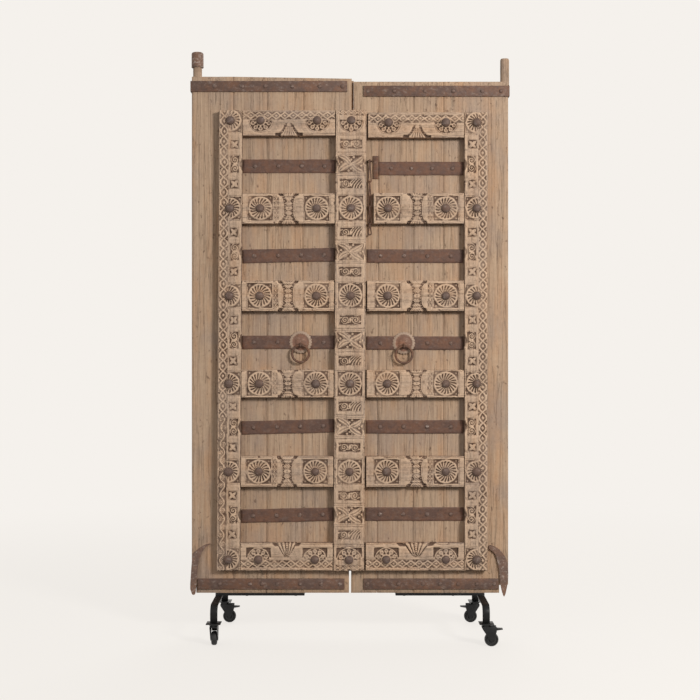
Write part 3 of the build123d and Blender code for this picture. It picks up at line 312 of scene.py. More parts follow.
@dataclass(frozen=True)
class WeatheredWood:
    """Old dry hardwood: fibres, bands, stains and cracks, and on carving painted shade in the hollows and
    pale raised edges, partly worn wood and partly painted highlight.
    """

    name: str
    light: Colour
    middle: Colour
    dark: Colour
    grain: Grain
    stain: Colour = srgb(156, 140, 130)
    blush: Colour = srgb(190, 150, 116)
    # Dark colour of cracks, specks and dirt, and also the painted shade laid in carved hollows.
    dirt_and_painted_shade: Colour = srgb(70, 46, 34)
    # Pale colour of worn wood and dust, and also the painted highlight laid on raised carving.
    worn: Colour = srgb(224, 193, 163)
    shift: float = 0.0
    dirt: float = 0.2
    carved: bool = False

    def along(self, across: float, with_grain: float) -> tuple[float, float, float]:
        """Waves a metre along the axes.

        Args:
            across, with_grain: waves a metre across and along the fibres.

        Returns:
            The waves along X, Y and Z.
        """
        if self.grain is Grain.LEVEL:
            return with_grain, across, across
        return across, across, with_grain

    def build(self) -> Material:
        """Builds the material.

        Returns:
            The material.
        """
        sketch, shift = Sketch(self.name), self.shift
        fibre = sketch.noise(self.along(150.0, 5.0), 7.0, 0.62, shift)
        fine = sketch.noise(self.along(620.0, 16.0), 4.0, 0.6, shift)
        band = sketch.noise(self.along(22.0, 1.1), 3.0, 0.55, shift)
        stain = sketch.noise((4.6, 4.6, 3.2), 7.0, 0.66, shift)
        crack = sketch.noise(self.along(46.0, 1.5), 5.0, 0.5, shift + 3.0)
        speck = sketch.noise((70.0, 70.0, 46.0), 3.0, 0.5, shift)
        blush = sketch.noise(self.along(13.0, 2.2), 5.0, 0.66, shift + 6.0)
        dust = sketch.noise((105.0, 105.0, 85.0), 6.0, 0.75, shift + 9.0)
        line = sketch.ramp(crack, ((0.484, BLACK), (0.495, WHITE), (0.506, BLACK)))
        colour = sketch.ramp(fibre, ((0.22, self.dark), (0.46, self.middle), (0.72, self.light)))
        colour = sketch.tinted(colour, (
            (self.dark, band, 0.54, 0.76, 0.24), (self.blush, blush, 0.47, 0.64, 0.7),
            (self.stain, stain, 0.48, 0.70, 0.7), (self.light, stain, 0.46, 0.30, 0.5),
            (self.dark, fine, 0.54, 0.68, 0.26)))
        colour = sketch.mix(sketch.span(line, 0.0, 0.22), colour, self.dirt_and_painted_shade)
        colour = sketch.tinted(colour, (
            (self.dirt_and_painted_shade, speck, 0.66, 0.74, 0.6), (self.worn, dust, 0.53, 0.68, self.dirt),
            (self.dirt_and_painted_shade, dust, 0.46, 0.30, self.dirt)))
        if self.carved:
            # Painted shade and highlight: the dark colour goes where the carving lies deeper than its
            # surroundings, and the pale colour, partly worn wood and partly painted highlight, where it
            # stands out.
            relief = sketch.attribute("relief")
            colour = sketch.tinted(colour, (
                (self.dirt_and_painted_shade, relief, 0.46, 0.12, 0.86), (self.worn, relief, 0.52, 0.72, 0.66)))
        colour = sketch.mix(sketch.span(sketch.attribute("tone"), 0.0, 0.42), colour, self.dark)
        normal = sketch.bump(fine, 0.0006)
        normal = sketch.bump(fibre, 0.0016, normal)
        normal = sketch.bump(sketch.level(line, 1.0, 0.0), 0.0012, normal)
        rough = sketch.span(fibre, 0.92, 0.74)
        return sketch.done(Base_Color=colour, Roughness=rough, Normal=normal, Specular_IOR_Level=0.28)


@dataclass(frozen=True)
class RustedIron:
    """Hand-forged iron: brown oxide, orange blooms, grey rubbed places and a hammered skin."""

    name: str
    base: Colour
    bloom: Colour
    rubbed: Colour
    bloom_share: float = 0.5
    rubbed_share: float = 0.4
    metal: float = 0.25
    pale_rim: bool = False
    pit_share: float = 0.45

    def build(self) -> Material:
        """Builds the material.

        Returns:
            The material.
        """
        sketch = Sketch(self.name)
        cloud = sketch.noise(19.0, 8.0, 0.74)
        grit = sketch.noise(420.0, 4.0, 0.6)
        dents = sketch.noise(95.0, 2.0, 0.5)
        scuff = sketch.noise((60.0, 60.0, 95.0), 7.0, 0.74, 4.0)
        deep = tuple(part * self.pit_share for part in self.base)
        colour = sketch.tinted(self.base, (
            (self.bloom, cloud, 0.44, 0.62, self.bloom_share),
            (self.rubbed, scuff, 0.53, 0.68, self.rubbed_share)))
        if self.pale_rim:
            colour = sketch.mix(sketch.span(sketch.attribute("tone"), 0.0, 0.75), colour, self.rubbed)
        colour = sketch.tinted(colour, ((deep, scuff, 0.45, 0.32, 0.55), (deep, grit, 0.56, 0.70, 0.5)))
        normal = sketch.bump(grit, 0.0005, sketch.bump(dents, 0.0012))
        rough = sketch.span(cloud, 0.48, 0.82)
        return sketch.done(Base_Color=colour, Roughness=rough, Normal=normal, Metallic=self.metal)


@dataclass(frozen=True)
class BlackPaint:
    """Black painted steel with a fine skin, dust and small brown scuffs."""

    name: str
    base: Colour
    dust: Colour
    scuff: Colour

    def build(self) -> Material:
        """Builds the material.

        Returns:
            The material.
        """
        sketch = Sketch(self.name)
        skin = sketch.noise(900.0, 2.0, 0.5)
        cloud = sketch.noise(16.0, 5.0, 0.6)
        chip = sketch.noise(120.0, 5.0, 0.7)
        colour = sketch.tinted(self.base, (
            (self.dust, cloud, 0.45, 0.75, 0.35), (self.scuff, chip, 0.64, 0.70, 0.7)))
        normal = sketch.bump(skin, 0.00012)
        rough = sketch.span(cloud, 0.34, 0.56)
        return sketch.done(Base_Color=colour, Roughness=rough, Normal=normal, Specular_IOR_Level=0.22)


@dataclass(frozen=True)
class PlatedSteel:
    """Zinc-plated pressed steel with a cloudy, faintly brushed skin."""

    name: str
    base: Colour
    cloud: Colour

    def build(self) -> Material:
        """Builds the material.

        Returns:
            The material.
        """
        sketch = Sketch(self.name)
        haze = sketch.noise(60.0, 5.0, 0.6)
        brush = sketch.noise((900.0, 900.0, 60.0), 3.0, 0.6)
        colour = sketch.mix(sketch.level(haze, 0.40, 0.65), self.base, self.cloud)
        normal = sketch.bump(brush, 0.00008)
        rough = sketch.span(haze, 0.28, 0.48)
        return sketch.done(Base_Color=colour, Roughness=rough, Normal=normal, Metallic=0.35)


@dataclass(frozen=True)
class MouldedBlack:
    """Moulded rubber or plastic with a fine grain and dusty wear."""

    name: str
    base: Colour
    dust: Colour
    rough: float

    def build(self) -> Material:
        """Builds the material.

        Returns:
            The material.
        """
        sketch = Sketch(self.name)
        grain = sketch.noise(1400.0, 3.0, 0.6)
        cloud = sketch.noise(48.0, 5.0, 0.65)
        colour = sketch.tinted(self.base, ((self.dust, cloud, 0.46, 0.72, 0.5),))
        normal = sketch.bump(grain, 0.00015)
        rough = sketch.span(cloud, self.rough - 0.1, self.rough + 0.1)
        return sketch.done(Base_Color=colour, Roughness=rough, Normal=normal)


@dataclass
class Finishes:
    """Every finish of the door, built once."""

    made: dict[str, Material] = field(default_factory=dict)

    def build(self) -> Finishes:
        """Builds all the materials.

        Returns:
            Itself.
        """
        board = dict(light=srgb(200, 174, 147), middle=srgb(178, 151, 127), dark=srgb(142, 117, 97))
        carved = dict(light=srgb(198, 173, 150), middle=srgb(182, 157, 136), dark=srgb(146, 121, 104),
                      dirt=0.7, carved=True)
        irons = (
            ("strap_iron", ((88, 64, 54), (114, 79, 60), (124, 106, 96)), 0.9, 0.5),
            ("edge_strap_iron", ((91, 70, 61), (122, 86, 65), (138, 121, 111)), 0.75, 0.8),
            ("strap_nail_iron", ((106, 86, 77), (118, 88, 72), (180, 166, 158)), 0.4, 0.8, 0.45),
            ("nail_iron", ((98, 80, 72), (116, 88, 72), (148, 138, 132)), 0.5, 0.7, 0.4),
            ("ring_iron", ((92, 68, 56), (130, 86, 58), (140, 124, 112)), 0.6, 0.5, 0.4),
            ("plate_iron", ((118, 86, 70), (148, 100, 74), (178, 156, 136)), 0.7, 0.5, 0.2, True),
            ("horn_iron", ((106, 84, 73), (138, 100, 78), (188, 174, 164)), 0.6, 1.0, 0.25),
        )
        finishes = (
            WeatheredWood("upright_boards", grain=Grain.UPRIGHT, **board),
            WeatheredWood("back_battens_wood", grain=Grain.LEVEL, shift=5.0, **board),
            WeatheredWood("carved_upright", grain=Grain.UPRIGHT, shift=2.0, **carved),
            WeatheredWood("carved_level", grain=Grain.LEVEL, shift=7.0, **carved),
            *(RustedIron(name, *(srgb(*tone) for tone in tones), *shares) for name, tones, *shares in irons),
            BlackPaint("stand_paint", srgb(15, 15, 16), srgb(34, 32, 30), srgb(66, 48, 37)),
            PlatedSteel("caster_steel", srgb(14, 14, 15), srgb(27, 27, 29)),
            MouldedBlack("wheel_rubber", srgb(13, 13, 14), srgb(44, 42, 40), 0.62),
            MouldedBlack("pedal_plastic", srgb(12, 12, 13), srgb(36, 35, 34), 0.5),
        )
        for finish in finishes:
            self.made[finish.name] = finish.build()
        return self

    def __getitem__(self, name: str) -> Material:
        """The material of a finish."""
        return self.made[name]


def lattice_value(column: Table, row: Table, seed: int) -> Table:
    """Fixed random value from 0 to 1 at each point of a lattice.

    Args:
        column, row: whole-number lattice places.
        seed: which lattice.

    Returns:
        The values.
    """
    mask = np.int64(0xFFFFFFFF)
    mixed = (column * np.int64(374761393) + row * np.int64(668265263) + np.int64(seed * 69069 + 1)) & mask
    mixed = ((mixed ^ (mixed >> 13)) * np.int64(1274126177)) & mask
    return ((mixed ^ (mixed >> 16)) & np.int64(0xFFFF)) / 65535.0


def smooth_noise(across: Table, along: Table, seed: int, octaves: int = 3) -> Table:
    """Smooth random waves from -1 to 1.

    Args:
        across, along: coordinates, one wave for each unit.
        seed: which noise.
        octaves: how many finer layers are added.

    Returns:
        The noise at each place.
    """
    total = np.zeros(np.broadcast(across, along).shape)
    weight = 1.0
    whole = 0.0
    for octave in range(octaves):
        u, v = across * 2 ** octave, along * 2 ** octave
        column, row = np.floor(u).astype(np.int64), np.floor(v).astype(np.int64)
        fu, fv = u - column, v - row
        fu, fv = fu * fu * (3 - 2 * fu), fv * fv * (3 - 2 * fv)
        low, high = (lattice_value(column, row + up, seed + octave) * (1 - fu)
                     + lattice_value(column + 1, row + up, seed + octave) * fu for up in (0, 1))
        total += weight * (low * (1 - fv) + high * fv)
        whole += weight
        weight *= 0.5
    return total / whole * 2 - 1


def step(low: float, high: float, value: Table) -> Table:
    """Smooth step from 0 at low to 1 at high."""
    share = np.clip((value - low) / (high - low), 0.0, 1.0)
    return share * share * (3 - 2 * share)


def fade(low: float, high: float, value: Table) -> Table:
    """Smooth step from 1 at low to 0 at high."""
    return 1 - step(low, high, value)


def ridge(offset: Table, width: float) -> Table:
    """Bell curve, 1 where the offset is 0."""
    return np.exp(-(offset / width) ** 2)


def zigzag(phase: Table) -> Table:
    """Wave of straight flanks, 1 at whole phases and 0 between them."""
    return np.abs(2 * (phase - np.floor(phase)) - 1)


def repeated(along: Table, pitch: float) -> Table:
    """Distance from the nearest of many places, one at each pitch."""
    return (along / pitch - np.round(along / pitch)) * pitch


def blurred(values: Table, reach: int) -> Table:
    """Mean over a square of cells, done twice so that it is soft.

    Args:
        values: a table of heights.
        reach: half the square's side, in cells.

    Returns:
        The softened table.
    """
    for axis in (0, 1, 0, 1):
        padded = np.concatenate(
            [np.repeat(np.take(values, [0], axis), reach + 1, axis), values,
             np.repeat(np.take(values, [-1], axis), reach, axis)], axis)
        sums = np.cumsum(padded, axis)
        size = values.shape[axis]
        width = 2 * reach + 1
        values = (np.take(sums, range(width, width + size), axis) - np.take(sums, range(size), axis)) / width
    return values


@dataclass(frozen=True)
class Motif:
    """Chip and relief carving as depths in millimetres.

    The coordinates u and v start at the middle of a motif, at the boss of a fan or at the middle of a
    rail's edge, and v runs along a band.
    """

    u: Depth
    v: Depth

    def rosette(self, radius: float, petals: int, turn: float, hub: float = 15.5) -> Depth:
        """Sunflower of gouged petals in a sunk field, with a rim line and carved corners.

        Args:
            radius: radius of the petals' ends.
            petals: how many petals.
            turn: how far the petals sweep round, as a share of one petal.
            hub: radius of the flat seat in the middle.

        Returns:
            The depth.
        """
        u, v = self.u, self.v
        r, angle = np.hypot(u, v), np.arctan2(v, u)
        phase = petals * angle / FULL_TURN + turn * r / radius
        gap = zigzag(phase)
        share = np.clip((r - hub) / (radius - hub), 0.0, 1.0)
        groove = step(0.30, 0.86, gap)
        ends = radius - 5.0 - 2.0 * (1 - gap)
        inside = step(hub - 1.0, hub + 2.0, r) * fade(ends - 1.4, ends + 1.2, r)
        depth = 8.6 * groove * inside * (0.75 + 0.25 * share)
        depth += 3.0 * ridge(r - radius - 2.0, 1.2)
        corner = step(radius + 0.6, radius + 2.6, r) * (np.maximum(np.abs(u), np.abs(v)) < radius + 2.5)
        bead = fade(2.0, 4.0, np.hypot(np.abs(u) - radius * 0.88, np.abs(v) - radius * 0.88))
        return np.maximum(depth, 6.8 * corner * (1 - 0.7 * bead))

    def fan(self, radius: float, petals: int, boxed: bool = False, hub: float = 19.0) -> Depth:
        """Palmette that opens towards +v: round lobes about a boss, hollows between them and an arched rim.

        Args:
            radius: radius of the arch.
            petals: lobes in the half turn.
            boxed: whether the corners outside the arch are sunk.
            hub: radius kept flat.

        Returns:
            The depth.
        """
        u, v = self.u, self.v
        r, angle = np.hypot(u, v), np.arctan2(v, u)
        share = petals * angle / math.pi
        beside = (share - np.floor(share) - 0.5) * math.pi / petals
        seat = radius * 0.76
        lobe = np.hypot(r * np.sin(beside), r * np.cos(beside) - seat)
        size = min(seat * math.sin(math.pi / petals / 2) * 0.98, radius * 0.2)
        raised = fade(size - 0.8, size + 1.0, lobe)
        stalk = fade(size * 0.3, size * 0.3 + 1.4, np.abs(r * np.sin(beside))) * (r < seat)
        raised = np.maximum(raised, np.maximum(stalk, fade(hub + 1.0, hub + 3.0, r)))
        inside = fade(radius - 1.4, radius + 0.4, r)
        cup = 5.0 * fade(size * 0.3, size * 0.72, lobe)
        line = 4.0 * ridge(r - radius - 4.4, 1.5)
        if not boxed:
            return step(-2.0, 2.0, v) * (8.4 * inside * (1 - raised) + cup + line)
        corner = step(radius + 3.0, radius + 4.6, r) * fade(radius + 5.0, radius + 6.6, np.abs(u))
        corner = corner * fade(radius + 2.4, radius + 4.0, v) * step(6.0, 10.0, v)
        return step(-2.0, 2.0, v) * (6.4 * inside * (1 - raised) + 0.6 * cup + 8.6 * corner)

    def lattice(self, half: float, pitch: float, curved: bool = False) -> Depth:
        """Band of two crossing ribs that leave sunk fields, each with a stud.

        Args:
            half: half the band's width.
            pitch: length of one field.
            curved: whether the ribs wave, so that the fields are oval, or run straight.

        Returns:
            The depth.
        """
        u, v = self.u, self.v
        along = v / pitch
        near = np.abs(along - np.round(along))
        swing = half * 0.9 * (np.abs(np.sin(math.pi * along)) if curved else 2 * near)
        rib = np.abs(np.abs(u) - swing) * 0.74
        field_depth = step(half * 0.1, half * 0.27, rib)
        stud = fade(half * 0.33, half * 0.5, np.abs(u) * 1.1 + (0.5 - near) * pitch * 0.8)
        drop = fade(half * 0.1, half * 0.21, np.hypot(np.abs(u) - half * 0.86, near * pitch))
        depth = 5.4 * field_depth * (1 - 0.92 * stud) * (1 - 0.6 * drop)
        edge = ridge(np.abs(u) - half - 1.5, 1.0)
        return np.where(np.abs(u) < half, depth, 0.0) + 2.8 * edge

    def flower(self, half: float) -> Depth:
        """Square with a flower of four petals to its corners.

        Args:
            half: half the square's side.

        Returns:
            The depth.
        """
        u, v = self.u, self.v
        p, q = (u + v) / math.sqrt(2), (u - v) / math.sqrt(2)
        reach = half * 1.28
        width = half * 0.36
        petals = np.zeros_like(u)
        for along, across in ((p, q), (q, p)):
            share = np.clip(np.abs(along) / reach, 0.0, 1.0)
            shape = width * np.sin(math.pi * share ** 0.8) + 0.4
            petals = np.maximum(petals, fade(shape - 1.4, shape + 0.8, np.abs(across)))
            vein = ridge(across, 0.9) * (share > 0.25) * (share < 0.85)
            petals = petals - 0.3 * vein * (petals > 0)
        inside = (np.maximum(np.abs(u), np.abs(v)) < half).astype(float)
        border = ridge(np.maximum(np.abs(u), np.abs(v)) - half - 3.0, 1.1)
        return 7.0 * inside * (1 - np.clip(petals, 0, 1)) + 2.6 * border

    def scrolls(self, half_width: float, half_height: float, leafy: bool = False) -> Depth:
        """Sunk panel with two facing volutes and a leaf between them.

        Args:
            half_width, half_height: half sizes of the panel.
            leafy: whether a ribbed leaf takes the place of the second volute.

        Returns:
            The depth.
        """
        u, v = self.u, self.v
        raised = np.zeros_like(u)
        radius = half_height * 0.92
        for side in (-1.0, 1.0):
            x = (u * side) - half_width * 0.5
            r, angle = np.hypot(x, v), np.arctan2(v, x)
            wind = r / (radius * 0.52) - angle / FULL_TURN
            wave = zigzag(wind)
            raised = np.maximum(raised, step(0.36, 0.58, wave) * fade(radius - 1.0, radius + 1.2, r))
            bend = np.abs(v + side * half_height * 0.55 * np.sin(x / half_width * 5.0))
            stem = fade(1.6, 3.2, bend) * (r > radius * 0.9) * (np.abs(x) < half_width * 0.5)
            raised = np.maximum(raised, stem)
        leaf = np.abs(u) / (half_width * 0.16) + np.abs(v) / (half_height * 0.8)
        raised = np.maximum(raised, fade(0.8, 1.1, leaf))
        if leafy:
            rib = np.abs(np.sin((u - 0.7 * v - 0.3 * v * v / half_height) / 11.5 * math.pi))
            raised = np.where(u > 2.0, step(0.42, 0.7, rib), raised)
        inside = (np.abs(u) < half_width) & (np.abs(v) < half_height)
        beyond = np.maximum(np.abs(u) - half_width, np.abs(v) - half_height)
        line = ridge(beyond - 3.2, 1.0)
        return np.where(inside, 7.0 * (1 - raised), 0.0) + 2.6 * line

    def bow(self, half_width: float, half_height: float) -> Depth:
        """Bow of four ribbed leaves from a bead in the middle to the corners.

        Args:
            half_width, half_height: half sizes of the panel.

        Returns:
            The depth.
        """
        u, v = self.u, self.v
        raised = np.zeros_like(u)
        ribs = np.zeros_like(u)
        length = math.hypot(half_width, half_height)
        for sign in (-1.0, 1.0):
            p = (u * half_width + sign * v * half_height) / length
            q = (v * half_width * sign - u * half_height) / length + 6.0 * np.sin(p / length * math.pi) * sign
            share = np.clip(np.abs(p) / length, 0.0, 1.0)
            shape = half_height * 0.38 * np.sin(math.pi * share ** 0.75) + 1.0
            inside = fade(shape - 1.2, shape + 1.0, np.abs(q))
            raised = np.maximum(raised, inside)
            wave = (0.5 + 0.5 * np.cos(q / (half_height * 0.16) * math.pi)) ** 1.5
            ribs = np.maximum(ribs, inside * wave)
        side_u, side_v = np.abs(u) / half_width, np.abs(v) / half_height
        for place_u, place_v in ((0.0, 0.58), (0.2, 0.82), (0.52, 0.0), (0.74, 0.2), (0.94, 0.0)):
            spot = np.hypot((side_u - place_u) * half_width, (side_v - place_v) * half_height)
            raised = np.maximum(raised, fade(3.6, 5.4, spot))
            ribs = np.maximum(ribs, 0.8 * fade(0.8, 2.2, spot))
        bead = fade(4.0, 6.0, np.hypot(u, v))
        raised = np.maximum(raised, bead)
        panel = (np.abs(u) < half_width) & (np.abs(v) < half_height)
        return np.where(panel, 8.0 * (1 - raised) + 5.0 * ribs * (1 - bead), 0.0)

    def vase(self, half: float, twisted: bool) -> Depth:
        """Baluster of bulbs and bells between beads, leaves and hollowed corners, across a whole rail.

        Args:
            half: half the rail's height.
            twisted: whether its flutes run round it or straight up.

        Returns:
            The depth.
        """
        u, v = self.u, self.v
        share = np.clip(np.abs(v) / half, 0.0, 1.0)
        inner = np.interp(share, (0, 0.08, 0.15, 0.21, 0.31, 0.41, 0.47, 0.6, 0.68, 0.74, 0.9, 1),
                          (13, 12, 6, 9, 14, 10, 6, 13, 16, 12, 24, 27))
        outer = np.interp(share, (0, 0.3, 0.6, 0.78, 0.86, 1), (18, 18, 22, 29, 39, 41))
        beyond = step(inner - 0.8, inner + 1.2, np.abs(u)) * fade(outer - 1.2, outer + 0.8, np.abs(u))
        leaf = 0.5 + 0.5 * np.cos((np.abs(u) - inner) / 2.7 - share * 9.0)
        bead = fade(2.0, 3.6, np.hypot(np.abs(u) - outer + 4.6, repeated(v, 9.5)))
        depth = beyond * (9.4 - 2.4 * leaf - 5.6 * bead + 5.0 * step(0.80, 0.9, share))
        within = fade(inner - 1.4, inner - 0.4, np.abs(u))
        flute = np.abs(np.sin((u + v) / 9.0 * math.pi if twisted else u / inner * math.pi * 2.5)) ** 0.6
        depth += 6.4 * (1 - flute) * within * step(0.10, 0.16, share)
        for ring in (0.15, 0.47, 0.74, 0.93):
            depth += 4.6 * ridge((share - ring) * half, 1.7) * within
        depth += 4.0 * fade(2.0, 4.0, np.hypot(u, v)) * within
        fillet = ridge(np.abs(u) - outer - 5.0, 1.3)
        return depth + 2.8 * fillet * (share < 0.84)

    def half_vase(self, height: float) -> Depth:
        """Fluted bell between stepped notches, at an edge where v is 0; v grows into the rail.

        Args:
            height: how far the bell reaches into the rail.

        Returns:
            The depth.
        """
        u, v = self.u, self.v
        share = v / height
        inner = np.interp(share, (0, 0.12, 0.3, 0.55, 0.7, 0.76, 0.9, 1.0), (33, 31, 23, 15, 13, 8, 10, 4))
        outer = np.interp(share, (0, 0.17, 0.2, 0.34, 0.6, 0.85, 1.0), (54, 54, 38, 32, 22, 17, 9))
        beyond = step(inner - 0.8, inner + 1.2, np.abs(u)) * fade(outer - 1.2, outer + 0.8, np.abs(u))
        leaf = 0.5 + 0.5 * np.cos((np.abs(u) - inner) / 2.7 - share * 8.0)
        bead = fade(2.0, 3.6, np.hypot(np.abs(u) - (inner + outer) / 2, repeated(v, 8.5)))
        bead = 5.4 * bead * step(0.2, 0.26, share)
        depth = beyond * (9.0 - 2.4 * leaf - bead + 5.0 * fade(0.14, 0.2, share))
        within = fade(inner - 1.4, inner - 0.4, np.abs(u))
        flute = np.abs(np.sin(u / inner * math.pi * 3.0)) ** 0.6
        depth += 8.0 * (1 - flute) * within * fade(0.62, 0.68, share)
        depth += 4.6 * ridge((share - 0.72) * height, 1.7) * within
        return np.where((share >= 0) & (share <= 1), depth, 0.0)

    def palmette(self, height: float, half: float) -> Depth:
        """Five leaves that spread from a point in the rail to the edge where v is 0, beads on the middle one.

        Args:
            height: how far the leaves reach into the rail.
            half: half their width at the edge.

        Returns:
            The depth.
        """
        u, v = self.u, self.v
        root, share = height * 1.12, v / height
        turn = np.arctan2(np.abs(u), root - v) / math.atan2(half, root)
        within = fade(1.02, 1.08, turn) * fade(0.9, 0.96, share)
        fold = np.abs(np.cos(turn * math.pi * 2.5))
        tip = np.abs(np.sin(turn * math.pi * 2.5)) * fade(0.06, 0.16, share)
        depth = within * np.maximum(8.0 * fade(0.2, 0.6, fold), 6.0 * step(0.5, 0.9, tip))
        bead = np.abs(repeated(v, 8.0))
        depth = np.maximum(depth, 5.0 * fade(0.8, 2.0, bead) * within * (turn < 0.15))
        notch = step(1.02, 1.08, turn) * fade(1.34, 1.42, turn) * fade(0.16, 0.24, share)
        depth = np.maximum(depth, 10.0 * notch)
        return np.where((share >= 0) & (share <= 1), depth, 0.0)

    def vine(self, half: float, pitch: float) -> Depth:
        """Band with a waving stem and a curl in each bend.

        Args:
            half: half the band's width.
            pitch: length of one wave.

        Returns:
            The depth.
        """
        u, v = self.u, self.v
        stem = np.abs(u - half * 0.5 * np.sin(FULL_TURN * v / pitch))
        raised = fade(2.0, 3.6, stem)
        for lag, side in ((0.25, -1.0), (0.75, 1.0)):
            along = repeated(v / pitch - lag, 1.0) * pitch
            r = np.hypot(u - side * half * 0.36, along)
            wind = r / (half * 0.34) - side * np.arctan2(along, u - side * half * 0.36) / FULL_TURN
            curl = step(0.3, 0.55, zigzag(wind)) * (r < half * 0.62)
            raised = np.maximum(raised, curl)
        edge = ridge(np.abs(u) - half - 1.5, 1.0)
        return np.where(np.abs(u) < half, 5.6 * (1 - raised), 0.0) + 2.4 * edge

    @staticmethod
    def moulding(v: Depth, lines: Sequence[float], width: float = 1.7, depth: float = 3.4) -> Depth:
        """Straight incised lines across a coordinate."""
        return sum(depth * ridge(v - line, width) for line in lines)


@dataclass
class Slab:
    """A piece of wood as a fine grid over its worked face, closed by walls and a back."""

    x: Table
    z: Table
    front: Table
    back: Table | float
    values: Values = field(default_factory=dict)

    def parts(self) -> Parts:
        """Vertices, faces and vertex values of the closed slab.

        Returns:
            Coordinates in metres, faces that point outwards, and one value for each vertex.
        """
        rows, columns = self.x.shape
        count = rows * columns
        index = np.arange(count).reshape(rows, columns)
        face = np.stack([self.x, self.front, self.z], -1).reshape(-1, 3)
        quads = np.stack([index[:-1, :-1], index[:-1, 1:], index[1:, 1:], index[1:, :-1]], -1).reshape(-1, 4)
        faces: list[Sequence[int]] = quads.tolist()
        rim = np.concatenate([index[0, :], index[1:, -1], index[-1, -2::-1], index[-2:0:-1, 0]])
        if isinstance(self.back, Table):
            behind = np.stack([self.x, self.back, self.z], -1).reshape(-1, 3)
            faces += (quads[:, ::-1] + count).tolist()
            back_rim = rim + count
            source = np.arange(count)
        else:
            behind = face[rim].copy()
            behind[:, 1] = self.back
            back_rim = count + np.arange(len(rim))
            right = back_rim[columns - 1:columns + rows - 1]
            left = np.concatenate([back_rim[:1], back_rim[:-rows + 1:-1], back_rim[[2 * columns + rows - 3]]])
            strips = np.stack([left[1:-2], left[2:-1], right[2:-1], right[1:-2]], -1)
            faces += strips.tolist()
            faces.append([*back_rim[:columns][::-1], left[1], right[1]])
            faces.append([*back_rim[columns + rows - 2:2 * columns + rows - 2][::-1], right[-2], left[-2]])
            source = rim
        after, back_after = np.roll(rim, -1), np.roll(back_rim, -1)
        faces += np.stack([rim, back_rim, back_after, after], -1).tolist()
        points = np.concatenate([face, behind]) * MM
        values = {}
        for key, table in self.values.items():
            flat = table.reshape(-1)
            values[key] = np.concatenate([flat, flat[source]])
        return points, faces, values


@dataclass
class Turned:
    """A closed shape of rings about an axis, capped at both ends."""

    rings: Table
    values: Values

    def parts(self) -> Parts:
        """Vertices, faces and vertex values.

        Returns:
            Coordinates in metres, faces that point outwards, and one value for each vertex.
        """
        count, around = self.rings.shape[:2]
        index = np.arange(count * around).reshape(count, around)
        after = np.roll(index, -1, 1)
        quads = np.stack([index[:-1], after[:-1], after[1:], index[1:]], -1).reshape(-1, 4)
        faces = [*quads.tolist(), index[0][::-1].tolist(), index[-1].tolist()]
        values = {key: table.reshape(-1) for key, table in self.values.items()}
        return self.rings.reshape(-1, 3) * MM, faces, values


def placed(name: str, data: bpy.types.ID) -> bpy.types.Object:
    """Puts an object in the scene.

    Args:
        name: its name.
        data: its mesh, curve, lamp or camera.

    Returns:
        The object.
    """
    made = bpy.data.objects.new(name, data)
    bpy.context.scene.collection.objects.link(made)
    return made


def new_object(name: str, mesh: bpy.types.Mesh, material: Material, smooth: float = 0.0) -> bpy.types.Object:
    """Puts a mesh in the scene with one material.

    Args:
        name: the object's name.
        mesh: its mesh, already in place.
        material: its finish.
        smooth: angle in degrees under which edges are shaded smooth, or 0.

    Returns:
        The object.
    """
    mesh.materials.clear()
    mesh.materials.append(material)
    if smooth:
        mesh.shade_smooth()
        mesh.set_sharp_from_angle(angle=math.radians(smooth))
    return placed(name, mesh)


